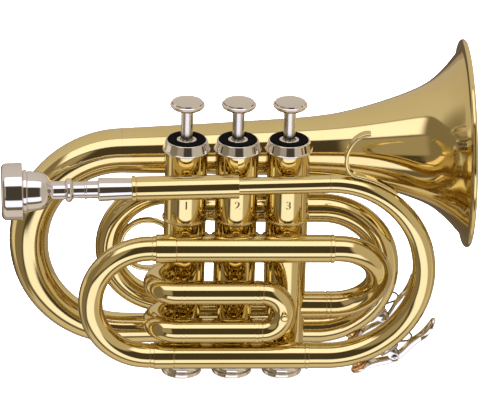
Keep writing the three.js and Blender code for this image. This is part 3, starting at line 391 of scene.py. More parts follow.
def radius_at(profile, distance, after):
    """The radius at a distance, from (distance, radius) pairs, just before or after a step."""
    edge = SAME_PLACE if after else -SAME_PLACE
    low = profile[0]
    for mark in profile:
        if mark[0] <= distance + edge:
            low = mark
    high = next((mark for mark in profile if mark[0] > distance + edge), profile[-1])
    span = high[0] - low[0]
    if span < SAME_PLACE:
        return low[1]
    share = min(max((distance - low[0]) / span, 0), 1)
    return low[1] + (high[1] - low[1]) * share


def supported(marks):
    """An outline with marks added near the ends of its long spans, which keeps their shading even."""
    made = [Vector(marks[0])]
    for mark in marks[1:]:
        low = made[-1]
        high = Vector(mark)
        span = (high - low).length
        if span > LONG_SPAN:
            made += [low.lerp(high, EDGE_SUPPORT / span), high.lerp(low, EDGE_SUPPORT / span)]
        made.append(high)
    return made


def rings_along(route, profile):
    """Rings of points round the route, two at a place where the radius steps."""
    places = []
    for place in sorted([*route.places, *[mark[0] for mark in profile]]):
        if not places or place - places[-1] > 10 * SAME_PLACE:
            places.append(place)
    places = [mark.x for mark in supported([(place, 0) for place in places])]
    rings = []
    for place, station in zip(places, carried([route.station(place) for place in places])):
        radii = [radius_at(profile, place, False), radius_at(profile, place, True)]
        if place == places[0]:
            radii = radii[1:]
        elif place == places[-1] or abs(radii[0] - radii[1]) < SAME_PLACE:
            radii = radii[:1]
        rings += [circle(*station, radius, TUBE_SIDES) for radius in radii]
    return rings


def skin(rings, closed=True):
    """Points and faces that join rings in a row, and either the last ring to the first or with end caps."""
    sides = len(rings[0])
    points = [point for ring in rings for point in ring]
    faces = []
    for r in range(len(rings) if closed else len(rings) - 1):
        after = (r + 1) % len(rings)
        for i in range(sides):
            j = (i + 1) % sides
            faces.append((r * sides + i, r * sides + j, after * sides + j, after * sides + i))
    if not closed:
        faces += [tuple(reversed(range(sides))), tuple(range(len(points) - sides, len(points)))]
    return points, faces


def new_object(name, data):
    obj = bpy.data.objects.new(name, data)
    bpy.context.scene.collection.objects.link(obj)
    return obj


def make_mesh(name, points, faces, sharp=SHARP_ANGLE, edge_round=EDGE_ROUND):
    """A smooth-shaded object in metres, its doubled points joined and its sharp edges slightly rounded."""
    mesh = bpy.data.meshes.new(name)
    mesh.from_pydata([Vector(p) * MM for p in points], [], faces)
    shaped = bmesh.new()
    shaped.from_mesh(mesh)
    bmesh.ops.remove_doubles(shaped, verts=shaped.verts, dist=SAME_PLACE * MM)
    bmesh.ops.dissolve_degenerate(shaped, edges=shaped.edges, dist=SAME_PLACE * MM)
    bmesh.ops.recalc_face_normals(shaped, faces=shaped.faces)
    shaped.to_mesh(mesh)
    shaped.free()
    mesh.shade_smooth()
    mesh.set_sharp_from_angle(angle=sharp)
    obj = new_object(name, mesh)
    if edge_round:
        bevel = obj.modifiers.new("rounded_edges", "BEVEL")
        bevel.width = edge_round * MM
        bevel.segments = 2
        bevel.limit_method = "ANGLE"
        bevel.angle_limit = SHARP_ANGLE
    return obj


def pipe(name, route, outer, inner, coped=(), edge_round=CRISP_EDGE):
    """A tube with an open bore. Points inside a casing named in coped slide out to its wall."""
    rings = [*rings_along(route, outer), *reversed(rings_along(route, inner))]
    for ring in rings:
        for number in coped:
            cope(ring, route, number)
    return make_mesh(name, *skin(rings), edge_round=edge_round)


def cope(ring, route, number):
    """Shifts a ring's points along the tube's end, out to the wall of a casing."""
    reach = CASING_RADIUS - COPE_DEPTH
    for i, point in enumerate(ring):
        offset = Vector((point.x - valve_x(number), point.y, 0))
        if offset.length >= reach:
            continue
        nearest_start = (point - route.points[0]).length < (point - route.points[-1]).length
        away = route.alongs[0] if nearest_start else -route.alongs[-1]
        along = Vector((away.x, away.y, 0)).normalized()
        ahead = offset.dot(along)
        ring[i] = point + along * (sqrt(reach ** 2 - offset.length_squared + ahead ** 2) - ahead)


def rod(name, route, radius):
    """A solid round rod along a route."""
    rings = rings_along(route, [(0, radius), (route.length, radius)])
    return make_mesh(name, *skin(rings, closed=False))


def turned(name, outline, centre=(0, 0, 0), axis=Z_AXIS, sides=TURN_SIDES, edge_round=EDGE_ROUND):
    """A turned piece from a closed outline of (radius, height along the axis) pairs."""
    axis = Vector(axis).normalized()
    normal = start_normal(axis)
    rings = []
    for radius, height in supported(outline):
        rings.append(circle(Vector(centre) + axis * height, axis, normal, radius, sides))
    return make_mesh(name, *skin(rings), edge_round=edge_round)


def rounded_bar(width, thickness, corner, steps=4):
    """The outline of a bar's section, as (across, out) pairs with round corners."""
    radius = min(width, thickness) * corner
    flat = width / 2 - radius
    outline = []
    for k, (sx, sy) in enumerate(((1, 1), (-1, 1), (-1, -1), (1, -1))):
        for i in range(steps + 1):
            angle = pi / 2 * (k + i / steps)
            across = sx * flat + radius * cos(angle)
            outline.append((across, sy * (thickness / 2 - radius) + radius * sin(angle)))
        if sx * sy > 0:
            outline += [(sx * flat * (1 - i / 4), sy * thickness / 2) for i in range(1, 8)]
    return outline


def band(name, stations, sizes, corner):
    """A bar swept along stations of (point, direction), with its width along Y. sizes gives its width, its
    thickness and how far its inner face is dished at each one."""
    rings = []
    for (point, along), (width, thickness, dish) in zip(stations, sizes):
        out = Y_AXIS.cross(along).normalized()
        ring = []
        for across, rise in rounded_bar(width, thickness, corner):
            if rise > 0:
                rise -= dish * max(0, 1 - (2.4 * across / width) ** 2)
            ring.append(point + Y_AXIS * across + out * rise)
        rings.append(ring)
    return make_mesh(name, *skin(rings, closed=False), sharp=BAND_SHARP_ANGLE, edge_round=0)


def wire(name, points, radius):
    """A round wire through points, with rounded ends."""
    spans = zip([points[0], *points], [*points[1:], points[-1]])
    alongs = [(after - before).normalized() for before, after in spans]
    rings = [circle(*station, radius, WIRE_SIDES) for station in carried(zip(points, alongs))]
    for end, point in ((0, points[0]), (-1, points[-1])):
        rings[end] = [point.lerp(side, 0.6) for side in rings[end]]
    return make_mesh(name, *skin(rings, closed=False), edge_round=0)


def plate(name, outline, near, far):
    """A flat plate from an outline of (x, z) pairs, between two depths along Y."""
    count = len(outline)
    points = [(x, depth, z) for depth in (near, far) for x, z in outline]
    faces = [tuple(range(count)), tuple(reversed(range(count, 2 * count)))]
    faces += [(i, (i + 1) % count, count + (i + 1) % count, count + i) for i in range(count)]
    return make_mesh(name, points, faces)


def finished_mesh(obj):
    """An object's mesh with its modifiers applied. The object is removed."""
    bpy.context.view_layer.update()
    mesh = bpy.data.meshes.new_from_object(obj.evaluated_get(bpy.context.evaluated_depsgraph_get()))
    bpy.data.objects.remove(obj)
    return mesh


def joined(name, *objs):
    """One object from several, with their edge rounding applied first."""
    base = bmesh.new()
    for obj in objs:
        base.from_mesh(finished_mesh(obj))
    mesh = bpy.data.meshes.new(name)
    base.to_mesh(mesh)
    base.free()
    mesh.shade_smooth()
    mesh.set_sharp_from_angle(angle=SHARP_ANGLE)
    return new_object(name, mesh)


class Nodes:
    """Short calls for building a node tree."""

    def __init__(self, tree):
        self.tree = tree

    def add(self, kind, sockets=(), **values):
        """A new node. sockets gives a value or another node's output for its inputs, by name or number."""
        node = self.tree.nodes.new(kind)
        for key, value in values.items():
            setattr(node, key, value)
        for socket, value in dict(sockets).items():
            self.put(node.inputs[socket], value)
        return node

    def link(self, out, into):
        self.tree.links.new(out, into)

    def put(self, socket, value):
        if isinstance(value, bpy.types.NodeSocket):
            self.link(value, socket)
        else:
            socket.default_value = value

    def math(self, operation, *values):
        return self.add("ShaderNodeMath", enumerate(values), operation=operation).outputs[0]

    def ramp(self, value, stops):
        node = self.add("ShaderNodeValToRGB", {0: value})
        elements = node.color_ramp.elements
        while len(elements) < len(stops):
            elements.new(0.5)
        for element, (place, colour) in zip(elements, stops):
            element.position = place
            element.color = (*colour, 1) if isinstance(colour, tuple) else (colour, colour, colour, 1)
        return node.outputs[0]

    def noise(self, vector, scale, detail=3.0, roughness=0.5):
        sockets = {"Vector": vector, "Scale": scale, "Detail": detail, "Roughness": roughness}
        return self.add("ShaderNodeTexNoise", sockets).outputs["Fac"]

    def bump(self, height, strength, distance):
        sockets = {"Height": height, "Strength": strength, "Distance": distance}
        return self.add("ShaderNodeBump", sockets).outputs["Normal"]


def new_material(name, **settings):
    """A Principled material with plain values on its sockets, its nodes and its surface point."""
    material = bpy.data.materials.new(name)
    material.use_nodes = True
    nodes = Nodes(material.node_tree)
    shader = material.node_tree.nodes["Principled BSDF"]
    for socket, value in settings.items():
        shader.inputs[socket.replace("_", " ")].default_value = value
    place = nodes.add("ShaderNodeTexCoord").outputs["Object"]
    return material, nodes, shader, place


def polished_metal(name, light, deep, roughness, coat=0.0):
    """Polished metal with faint tarnish clouds, fine buffing lines and handling marks."""
    material, nodes, shader, place = new_material(
        name, Metallic=1.0, Coat_Weight=coat, Coat_Roughness=0.04, Coat_IOR=1.5,
    )
    clouds = nodes.noise(place, 45, 4)
    nodes.link(nodes.ramp(clouds, [(0.3, deep), (0.7, light)]), shader.inputs["Base Color"])
    marks = nodes.noise(place, 900, 3, 0.6)
    worn = nodes.math("MULTIPLY_ADD", nodes.noise(place, 120, 3), 0.05, roughness - 0.025)
    nodes.link(nodes.math("MULTIPLY_ADD", marks, 0.03, worn), shader.inputs["Roughness"])
    nodes.link(nodes.bump(marks, 0.05, 0.00002), shader.inputs["Normal"])
    return material


def felt_material():
    material, nodes, shader, place = new_material("black_felt", Roughness=0.95, Specular_IOR_Level=0.08)
    fibres = nodes.noise(place, 2600, 5, 0.7)
    nodes.link(nodes.ramp(fibres, [(0.3, 0.0005), (0.75, 0.004)]), shader.inputs["Base Color"])
    nodes.link(nodes.bump(fibres, 0.6, 0.0002), shader.inputs["Normal"])
    return material


def cork_material():
    material, nodes, shader, place = new_material("cork", Roughness=0.8)
    grain = nodes.noise(place, 1500, 4, 0.6)
    cells = nodes.add("ShaderNodeTexVoronoi", {"Vector": place, "Scale": 900})
    mixed = nodes.math("MULTIPLY", grain, nodes.math("ADD", cells.outputs["Distance"], 0.6))
    stops = [(0.2, (0.08, 0.025, 0.008)), (0.36, (0.42, 0.17, 0.05)), (0.6, (0.66, 0.33, 0.12))]
    nodes.link(nodes.ramp(mixed, stops), shader.inputs["Base Color"])
    nodes.link(nodes.bump(mixed, 0.5, 0.0002), shader.inputs["Normal"])
    return material


# Light and deep colour, roughness and, for lacquer, the coat
METALS = {
    "lacquered_brass": ((0.783, 0.641, 0.297), (0.757, 0.602, 0.258), 0.06, 0.15),
    "nickel_silver": ((0.826, 0.775, 0.7), (0.783, 0.73, 0.655), 0.07),
    "silver_plate": ((0.8, 0.757, 0.714), (0.757, 0.714, 0.671), 0.06),
    "piston_metal": ((0.688, 0.662, 0.602), (0.619, 0.593, 0.533), 0.18),
    # Dark spring steel; the same look also gives the screw slots' painted shade.
    "spring_steel": ((0.34, 0.31, 0.28), (0.24, 0.22, 0.2), 0.25),
    "brushed_stem": ((0.826, 0.774, 0.688), (0.791, 0.74, 0.654), 0.26),
    # The digits' dark colour is painted shade, for the shade inside their engraved cuts.
    "engraved_digit_shade": ((0.15, 0.09, 0.03), (0.1, 0.06, 0.02), 0.4),
}
LOOKS = {name: polished_metal(name, *settings) for name, settings in METALS.items()}
LOOKS["black_felt"] = felt_material()
LOOKS["cork"] = cork_material()


def dress(obj, body, nodes, slot, look=None):
    """Gives a piece its material, from its look or else its slot, hides the CAD nodes that it stands for
    and hangs it from its body.
    """
    obj.data.materials.clear()
    obj.data.materials.append(LOOKS[look or slot])
    if nodes:
        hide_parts(*nodes)
    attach(obj, body)


def brass(obj, node, body="root"):
    dress(obj, body, [node], "lacquered_brass")


def valve_x(number):
    return (number - 2) * VALVE_PITCH


def arc_points(centre, radius, start, end, steps):
    """(radius, height) pairs along an arc, angles in degrees from the outward direction."""
    angles = [radians(start + (end - start) * i / steps) for i in range(steps + 1)]
    return shifted(*centre, [(radius * cos(angle), radius * sin(angle)) for angle in angles])


def shifted(first, second, pairs):
    """The pairs, measured from another pair."""
    return [(first + a, second + b) for a, b in pairs]


def swapped(pairs):
    return [(b, a) for a, b in pairs]


# Closed outlines of the valve pieces, as (radius, height) pairs
CASING_BORE = CASING_RADIUS - CASING_WALL
CASING_OUTLINE = [
    (CASING_BORE, BOTTOM_CAP_HEIGHT),
    (CASING_RADIUS, BOTTOM_CAP_HEIGHT),
    *shifted(CASING_RADIUS, SEAM_HEIGHT, [(0, -0.85), (0.1, -0.8), (0.1, -0.62)]),
    *arc_points((CASING_RADIUS + 0.25, SEAM_HEIGHT), 0.6, -75, 75, 10),
    *shifted(CASING_RADIUS, SEAM_HEIGHT, [(0.1, 0.62), (0.1, 0.8), (0, 0.85)]),
    (CASING_RADIUS, CASING_TOP),
    (CASING_BORE, CASING_TOP),
]
BOTTOM_CAP_OUTLINE = [
    (0, 0),
    *arc_points((BOTTOM_CAP_FLANGE - 0.7, 0.7), 0.7, -90, 0, 5),
    *arc_points((BOTTOM_CAP_FLANGE - 0.5, 1.8), 0.5, 0, 90, 5),
    (8.6, 2.5),
    (8.4, 3.4),
    (8.6, 4.6),
    (CASING_RADIUS - 0.5, 5.6),
    (CASING_RADIUS + 0.15, 5.75),
    (CASING_RADIUS + 0.2, BOTTOM_CAP_HEIGHT - SEAM_GAP),
    (0, BOTTOM_CAP_HEIGHT - SEAM_GAP),
]
TOP_CAP_OUTLINE = [
    (CASING_RADIUS + 0.05, TOP_CAP_FOOT),
    (TOP_CAP_RADIUS - 0.3, TOP_CAP_FOOT),
    *arc_points((TOP_CAP_RADIUS - 0.4, TOP_CAP_FOOT + 0.4), 0.4, -90, 0, 4),
    *shifted(TOP_CAP_RADIUS, TOP_CAP_FOOT + TOP_CAP_BAND, [(0, -0.4), (-0.35, 0)]),
    (TOP_CAP_CROWN + 0.35, TOP_CAP_TOP - 0.5),
    *arc_points((TOP_CAP_CROWN - 0.15, TOP_CAP_TOP - 0.35), 0.35, 20, 120, 4),
    (FELT_RADIUS + 0.1, TOP_CAP_TOP - 0.1),
    (FELT_RADIUS + 0.1, FELT_FOOT - 0.3),
    (CAP_NECK_RADIUS, FELT_FOOT - 0.3),
    *shifted(CAP_NECK_RADIUS, CAP_NECK_TOP, [(0, -0.2), (-0.3, 0)]),
    (STEM_HOLE, CAP_NECK_TOP),
    (STEM_HOLE, CASING_TOP + 0.3),
    (CASING_RADIUS + 0.05, CASING_TOP + 0.3),
]
FELT_OUTLINE = [
    (CAP_NECK_RADIUS + 0.1, FELT_FOOT),
    (FELT_RADIUS, FELT_FOOT),
    *arc_points((FELT_RADIUS - 0.6, FELT_TOP - 0.6), 0.6, 0, 90, 5),
    *arc_points((CAP_NECK_RADIUS + 0.7, FELT_TOP - 0.6), 0.6, 90, 180, 5),
]
BUTTON_OUTLINE = [
    (0, BUTTON_FOOT),
    *smooth_through(shifted(BUTTON_RADIUS, BUTTON_FOOT, [(-3.2, 0), (-1.3, 0.3), (-0.35, 1.1)]), 4),
    *shifted(BUTTON_RADIUS, BUTTON_TOP, [
        (0, -1.75), (-0.08, -1.3), (-0.2, -1.15), (-0.8, -0.75), (-0.93, -0.1), (-1.1, 0), (-1.4, -0.06),
        (-4, -0.25),
    ]),
    (0, BUTTON_TOP - 0.3),
]
STEM_OUTLINE = [
    (0, PISTON_TOP),
    (STEM_NECK, PISTON_TOP),
    (STEM_NECK, SPRING_PLATE_FOOT),
    (SPRING_PLATE_RADIUS, SPRING_PLATE_FOOT),
    (SPRING_PLATE_RADIUS, SPRING_PLATE_TOP),
    (STEM_RADIUS, SPRING_PLATE_TOP),
    *shifted(STEM_RADIUS, BUTTON_FOOT, [(0, -0.9), (-0.3, -0.8), (-0.3, -0.5), (0.3, -0.35), (0.5, 0)]),
    (0, BUTTON_FOOT),
]


def valve_pieces(number):
    body = f"valve_{number}"
    for name, node, rides, outline, edge_round, slot, look in (
        ("casing", "valve_casing", "root", CASING_OUTLINE, EDGE_ROUND, "lacquered_brass", None),
        ("bottom_cap_fine", "bottom_cap", "root", BOTTOM_CAP_OUTLINE, EDGE_ROUND, "nickel_silver", None),
        ("top_cap_fine", "top_cap", "root", TOP_CAP_OUTLINE, EDGE_ROUND, "nickel_silver", None),
        ("felt", "top_felt", "root", FELT_OUTLINE, 0, "black_felt", None),
        ("button", "finger_button", body, BUTTON_OUTLINE, 0, "nickel_silver", None),
        ("stem", "valve_stem", body, STEM_OUTLINE, EDGE_ROUND, "nickel_silver", "brushed_stem"),
    ):
        obj = turned(f"{name}_{number}", outline, (valve_x(number), 0, 0), edge_round=edge_round)
        dress(obj, rides, [f"{node}_{number}"], slot, look)


def casing_digit(number):
    """A plain valve number laid over the front of the casing where the real one is cut in, bent round its
    wall. Its dark colour is painted shade, standing for the shade inside the cut.
    """
    text = bpy.data.curves.new(f"digit_{number}", "FONT")
    text.body = str(number)
    text.size = DIGIT_SIZE
    text.align_x = "CENTER"
    text.offset = 0.08
    text.extrude = 0.08
    mesh = finished_mesh(new_object(f"digit_holder_{number}", text))
    centre = Vector((valve_x(number), 0, DIGIT_HEIGHT - DIGIT_SIZE * 0.35))
    for vertex in mesh.vertices:
        across, up, out = vertex.co
        angle = across / CASING_RADIUS
        reach = CASING_RADIUS - 0.02 + max(out, 0) * 0.4
        vertex.co = (centre + Vector((reach * sin(angle), -reach * cos(angle), up))) * MM
    dress(new_object(f"casing_digit_{number}", mesh), "root", [], "lacquered_brass", "engraved_digit_shade")


def casing_links(first):
    """The tube and the waisted post between two casings."""
    left = valve_x(first)
    route = straight((left + CASING_ENTRY, 0, PORT_HEIGHT), X_AXIS, VALVE_PITCH - 2 * CASING_ENTRY)
    ends = [(0, CONNECTOR_RADIUS), (route.length, CONNECTOR_RADIUS)]
    tube = pipe(f"connector_{first}", route, ends, inside_of(ends), (first, first + 1), EDGE_ROUND)
    brass(tube, f"valve_connector_{first}{first + 1}")
    middle = VALVE_PITCH / 2
    foot = CASING_RADIUS - 0.4
    half = [
        (BRACE_FLANGE, foot),
        (BRACE_FLANGE, CASING_RADIUS + 0.55),
        (BRACE_FLANGE - 0.25, CASING_RADIUS + 0.8),
        (BRACE_RADIUS + 0.2, middle - 0.7),
    ]
    others = [(radius, VALVE_PITCH - height) for radius, height in reversed(half)]
    outline = [(0, foot), *half, (BRACE_RADIUS, middle), *others, (0, VALVE_PITCH - foot)]
    post = turned(f"post_{first}", outline, (left, 0, BRACE_HEIGHT), X_AXIS, edge_round=0.1)
    brass(post, f"casing_brace_{first}{first + 1}")


# Tubes, with their profiles as (distance, radius) pairs
def inside_of(profile):
    """An inner profile one wall inside an outer one."""
    return [(place, radius - TUBE_WALL) for place, radius in profile]


def bore_of(profile, wall=GROOVED_WALL):
    """An inner profile of one radius, a wall inside the least outer radius."""
    least = min(radius for _, radius in profile) - wall
    return [(0, least), (profile[-1][0], least)]


def ring_marks(start, width, radius):
    """The profile of a raised band with a fine groove on each side of it."""
    edge = [(-GROOVE_WIDTH, 0), (-GROOVE_WIDTH, -GROOVE_DEPTH), (0, -GROOVE_DEPTH), (0, FERRULE_STAND_OUT)]
    other = [(-place, rise) for place, rise in reversed(edge)]
    return [*shifted(start, radius, edge), *shifted(start + width, radius, other)]


def ferruled(length, radius, bands):
    """An outer profile with raised bands, each (start, width). A start below 0 counts back from the end."""
    profile = [(0, radius)]
    for start, width in bands:
        start += length if start < 0 else 0
        marks = ring_marks(start, width, radius)
        if start <= SAME_PLACE:
            profile = []
            marks = marks[3:]
        if start + width >= length - SAME_PLACE:
            marks = marks[:-3]
        profile += marks
    if profile[-1][0] < length - SAME_PLACE:
        profile.append((length, radius))
    return profile


def tube(node, route, outer, inner=None, coped=(), edge_round=CRISP_EDGE):
    """A fixed brass tube that stands for a CAD node."""
    brass(pipe(f"{node}_fine", route, outer, inner or inside_of(outer), coped, edge_round), node)


def ferruled_tube(node, route, radius, bands, coped=()):
    outer = ferruled(route.length, radius, bands)
    tube(node, route, outer, bore_of(outer), coped)


def slide(node, end, heading, heights, reach, gap, sleeve_radii, crook_radius, ring=FERRULE_RING):
    """A slide: one crook with a leg in each of its two sleeves, which end at two heights above a place."""
    legs = [radius - TUBE_WALL - SLIDE_CLEARANCE for radius in sleeve_radii]
    leg = reach + SEAM_GAP
    route = Route(Vector((*end, heights[0])) - heading * reach, heading).ahead(leg + gap)
    route.bend(-Z_AXIS, (heights[0] - heights[1]) / 2, pi).ahead(leg + gap)
    length = route.length
    outer = [
        (0, legs[0]),
        (leg, legs[0]),
        *ring_marks(leg, ring, crook_radius)[3:],
        *ring_marks(length - leg - ring, ring, crook_radius)[:-3],
        (length - leg, legs[1]),
        (length, legs[1]),
    ]
    bore = min(legs) - TUBE_WALL
    brass(pipe(f"{node}_fine", route, outer, [(0, bore), (length, bore)]), node, body=node)


lead_heading = Vector((cos(LEAD_TILT), 0, sin(LEAD_TILT)))
lead_bow_centre = Vector((LEAD_BOW_X, FRONT_PLANE, LOWER_FRONT_HEIGHT + LEAD_BOW_RADIUS))
lead_bow_start = lead_bow_centre + Vector((-sin(LEAD_TILT), 0, cos(LEAD_TILT))) * LEAD_BOW_RADIUS
receiver_mouth = RECEIVER_TO_BOW + RECEIVER_LENGTH
mouthpiece_rim = receiver_mouth + MOUTHPIECE_LENGTH - MOUTHPIECE_INSERT


def lead_point(before_bow):
    return lead_bow_start - lead_heading * before_bow


# Places from the rim's front and radii, in millimetres
MOUTHPIECE_CUP_BACK = [
    (15.2, 9.1), (18, 8.65), (19.8, 7.95), (21, 7.05), (22, 5.85), (22.9, 4.8), (24, 4.36), (26, 4.33),
]
MOUTHPIECE_CUP = [(1, 8.7), (2.4, 7.9), (5.4, 7.2), (9.3, 5.9), (12.8, 3.3), (15.2, 1.85)]
MOUTHPIECE_STEPS = [
    (9.9, 10.1), (9.95, 9.6), (10.2, 9.6), (10.25, 10), (11.5, 10), (11.65, 9.85),
    (11.7, 9.1), (12, 9.1), (12.1, 9.35),
]
MOUTHPIECE_SHANK = [
    (33, 3.9), (38, 3.9), (38.15, 4.35), (38.9, 4.35), (39.05, 4.05), (44, 4.05), (44.1, 4.4), (44.35, 5.2),
    (44.8, 5.5), (59, 5),
]


def mouthpiece():
    rim = MOUTHPIECE_RIM
    shank_tip = LEADPIPE_RADIUS + SLIDE_CLEARANCE / 2
    outline = [
        *arc_points((9.7, 1), 1, 180, 270, 6),
        *arc_points((rim - 2.6, 2.6), 2.6, -90, 0, 12),
        *arc_points((rim - 0.4, 9.45), 0.4, 0, 90, 5),
        *swapped(MOUTHPIECE_STEPS),
        *swapped(smooth_through(MOUTHPIECE_CUP_BACK, 6)),
        (4.3, 29),
        (4.05, 29.2),
        *arc_points((3.9, 30.9), 1.65, -70, 70, 10),
        *swapped(MOUTHPIECE_SHANK),
        (RECEIVER_RADIUS - RECEIVER_WALL - SLIDE_CLEARANCE, MOUTHPIECE_LENGTH - MOUTHPIECE_INSERT + 1),
        (shank_tip, MOUTHPIECE_LENGTH),
        (shank_tip - 1, MOUTHPIECE_LENGTH),
        (shank_tip - 1.2, 0.9 * MOUTHPIECE_LENGTH),
        (1.85, 17.5),
        *reversed(swapped(smooth_through(MOUTHPIECE_CUP, 6))),
    ]
    start = lead_point(mouthpiece_rim)
    obj = turned("mouthpiece_fine", outline, start, lead_heading, sides=RING_SIDES, edge_round=CRISP_EDGE)
    dress(obj, "mouthpiece", ["mouthpiece"], "silver_plate")


def receiver_and_leadpipe():
    route = straight(lead_point(receiver_mouth), lead_heading, RECEIVER_LENGTH)
    ring = RECEIVER_RING_WIDTH
    groove_end = ring + GROOVE_WIDTH
    profile = shifted(0, RECEIVER_RADIUS, [
        (0, 0.25), (0.15, 0.4), (ring - 0.15, 0.4), (ring, 0.2), (ring, -GROOVE_DEPTH),
        (groove_end, -GROOVE_DEPTH), (groove_end, 0), (RECEIVER_LENGTH, 0),
    ])
    bore = [
        (0, RECEIVER_RADIUS - RECEIVER_WALL),
        (MOUTHPIECE_INSERT, LEADPIPE_RADIUS + 0.2),
        (RECEIVER_LENGTH, LEADPIPE_RADIUS + SEAM_GAP),
    ]
    brass(pipe("receiver", route, profile, bore), "mouthpiece_receiver")
    start = receiver_mouth - MOUTHPIECE_INSERT - 1
    route = straight(lead_point(start), lead_heading, start - SEAM_GAP)
    outer = [(0, LEADPIPE_RADIUS), (route.length, LEADPIPE_RADIUS)]
    tube("leadpipe", route, outer)


def lead_bow():
    route = Route(lead_bow_start, lead_heading)
    route.bend(-Z_AXIS, LEAD_BOW_RADIUS, pi + LEAD_TILT)
    route.ahead(LEAD_BOW_X - LOWER_SLEEVE_RIGHT - SEAM_GAP)
    end = route.length
    outer = [
        (0, LEADPIPE_RADIUS),
        (end / 2, LEAD_BOW_MIDDLE),
        (0.72 * end, LEAD_BOW_END + 0.1),
        (end, LEAD_BOW_END),
    ]
    tube("lead_bow", route, outer)


def front_tubes():
    """The tuning slide with its two sleeves, and the crook on to valve three."""
    for name, height, radius, right in (
        ("lower_tuning_sleeve", LOWER_FRONT_HEIGHT, LOWER_SLEEVE_RADIUS, LOWER_SLEEVE_RIGHT),
        ("upper_tuning_sleeve", UPPER_FRONT_HEIGHT, UPPER_SLEEVE_RADIUS, UPPER_SLEEVE_RIGHT),
    ):
        route = straight((SLEEVE_LEFT, FRONT_PLANE, height), X_AXIS, right - SLEEVE_LEFT)
        ferruled_tube(name, route, radius, [(0, FERRULE_LENGTH), END_RING])
    slide(
        "tuning_slide", (SLEEVE_LEFT, FRONT_PLANE), -X_AXIS, (UPPER_FRONT_HEIGHT, LOWER_FRONT_HEIGHT),
        TUNING_LEG_REACH, TUNING_CROOK_GAP - SEAM_GAP, (UPPER_SLEEVE_RADIUS, LOWER_SLEEVE_RADIUS),
        TUNING_CROOK_RADIUS,
    )
    across = Vector((0, -FRONT_PLANE, ENTRY_HEIGHT - UPPER_FRONT_HEIGHT))
    leg = UPPER_SLEEVE_RIGHT + ENTRY_CROOK_GAP - valve_x(3) - CASING_ENTRY
    route = Route((UPPER_SLEEVE_RIGHT + SEAM_GAP, FRONT_PLANE, UPPER_FRONT_HEIGHT), X_AXIS)
    route.ahead(ENTRY_CROOK_GAP).bend(across, across.length / 2, pi).ahead(leg)
    ferruled_tube("entry_crook", route, ENTRY_RADIUS, [(FERRULE_RING - leg, FERRULE_RING)], (3,))


def first_slide():
    for name, height in zip(("first_knuckle_upper", "first_knuckle_lower"), FIRST_HEIGHTS):
        start = Vector((valve_x(1) - FIRST_KNUCKLE_REACH, 0, height))
        route = Route(start, -X_AXIS).bend(-Y_AXIS, -FIRST_SLIDE_PLANE / 2, pi)
        route.ahead(FIRST_SLEEVE_RIGHT - start.x)
        bands = [(FIRST_SLEEVE_LEFT - FIRST_SLEEVE_RIGHT, FERRULE_RING), END_RING]
        ferruled_tube(name, route, FIRST_RADIUS, bands, (1,))
    crook_radius = FIRST_RADIUS - SLIDE_CLEARANCE / 2
    slide(
        "first_slide", (FIRST_SLEEVE_RIGHT, FIRST_SLIDE_PLANE), X_AXIS, FIRST_HEIGHTS, FIRST_LEG_REACH,
        FIRST_CROOK_GAP - SEAM_GAP, [FIRST_RADIUS] * 2, crook_radius,
    )
    outline = [
        (0, 0),
        (1.3, 0),
        (1.3, KNOB_LENGTH - 2.2),
        *arc_points((KNOB_RADIUS - 1.1, KNOB_LENGTH - 1.1), 1.1, -60, 90, 10),
        (0, KNOB_LENGTH),
    ]
    foot = (
        FIRST_SLEEVE_RIGHT + FIRST_CROOK_GAP + (FIRST_HEIGHTS[0] - FIRST_HEIGHTS[1]) / 2,
        FIRST_SLIDE_PLANE - crook_radius + KNOB_RADIUS / 2,
        sum(FIRST_HEIGHTS) / 2,
    )
    knob = turned("pull_knob", outline, foot, -Y_AXIS, sides=SMALL_SIDES, edge_round=0)
    brass(knob, "first_slide_knob", body="first_slide")


def second_slide():
    for name, height in zip(("second_sleeve_upper", "second_sleeve_lower"), SECOND_HEIGHTS):
        route = straight((0, CASING_ENTRY, height), Y_AXIS, SECOND_SLEEVE_END - CASING_ENTRY)
        ferruled_tube(name, route, SECOND_RADIUS, [END_RING], (2,))
    slide(
        "second_slide", (0, SECOND_SLEEVE_END), Y_AXIS, SECOND_HEIGHTS, SECOND_LEG_REACH, SECOND_CROOK_GAP,
        [SECOND_RADIUS] * 2, SECOND_RADIUS - SLIDE_CLEARANCE / 2, FERRULE_RING / 2,
    )


def third_slide():
    upper = Route((valve_x(3), CASING_ENTRY, THIRD_HEIGHTS[0]), Y_AXIS)
    upper.ahead(THIRD_SLIDE_PLANE - THIRD_ELBOW - CASING_ENTRY).bend(X_AXIS, THIRD_ELBOW, pi / 2)
    lower = Route((valve_x(3), CASING_ENTRY, THIRD_PORT), Y_AXIS).ahead(PORT_DEPTH)
    lower.ease((valve_x(3) + THIRD_LOWER_ELBOW, THIRD_SLIDE_PLANE, THIRD_HEIGHTS[1]), X_AXIS, 0.5)
    for name, route in (("third_knuckle_upper", upper), ("third_knuckle_lower", lower)):
        route.ahead(THIRD_SLEEVE_RIGHT - route.at.x)
        ferruled_tube(name, route, THIRD_RADIUS, [END_RING], (3,))
    slide(
        "third_slide", (THIRD_SLEEVE_RIGHT, THIRD_SLIDE_PLANE), X_AXIS, THIRD_HEIGHTS, THIRD_LEG_REACH,
        FERRULE_RING, [THIRD_RADIUS] * 2, THIRD_RADIUS - SLIDE_CLEARANCE / 2,
    )


# Places from the rim as shares of the bell's length, radii as shares from the tail to the rim
BELL_FLARE = [
    (0, 1), (0.012, 0.94), (0.03, 0.838), (0.07, 0.644), (0.114, 0.492), (0.19, 0.35),
    (0.336, 0.171), (0.424, 0.109), (0.66, 0.053), (1, 0),
]
bell_heading = Vector((-cos(BELL_TILT), 0, -sin(BELL_TILT)))
bell_length = BELL_RIM_CENTRE.x - BELL_TAIL_X


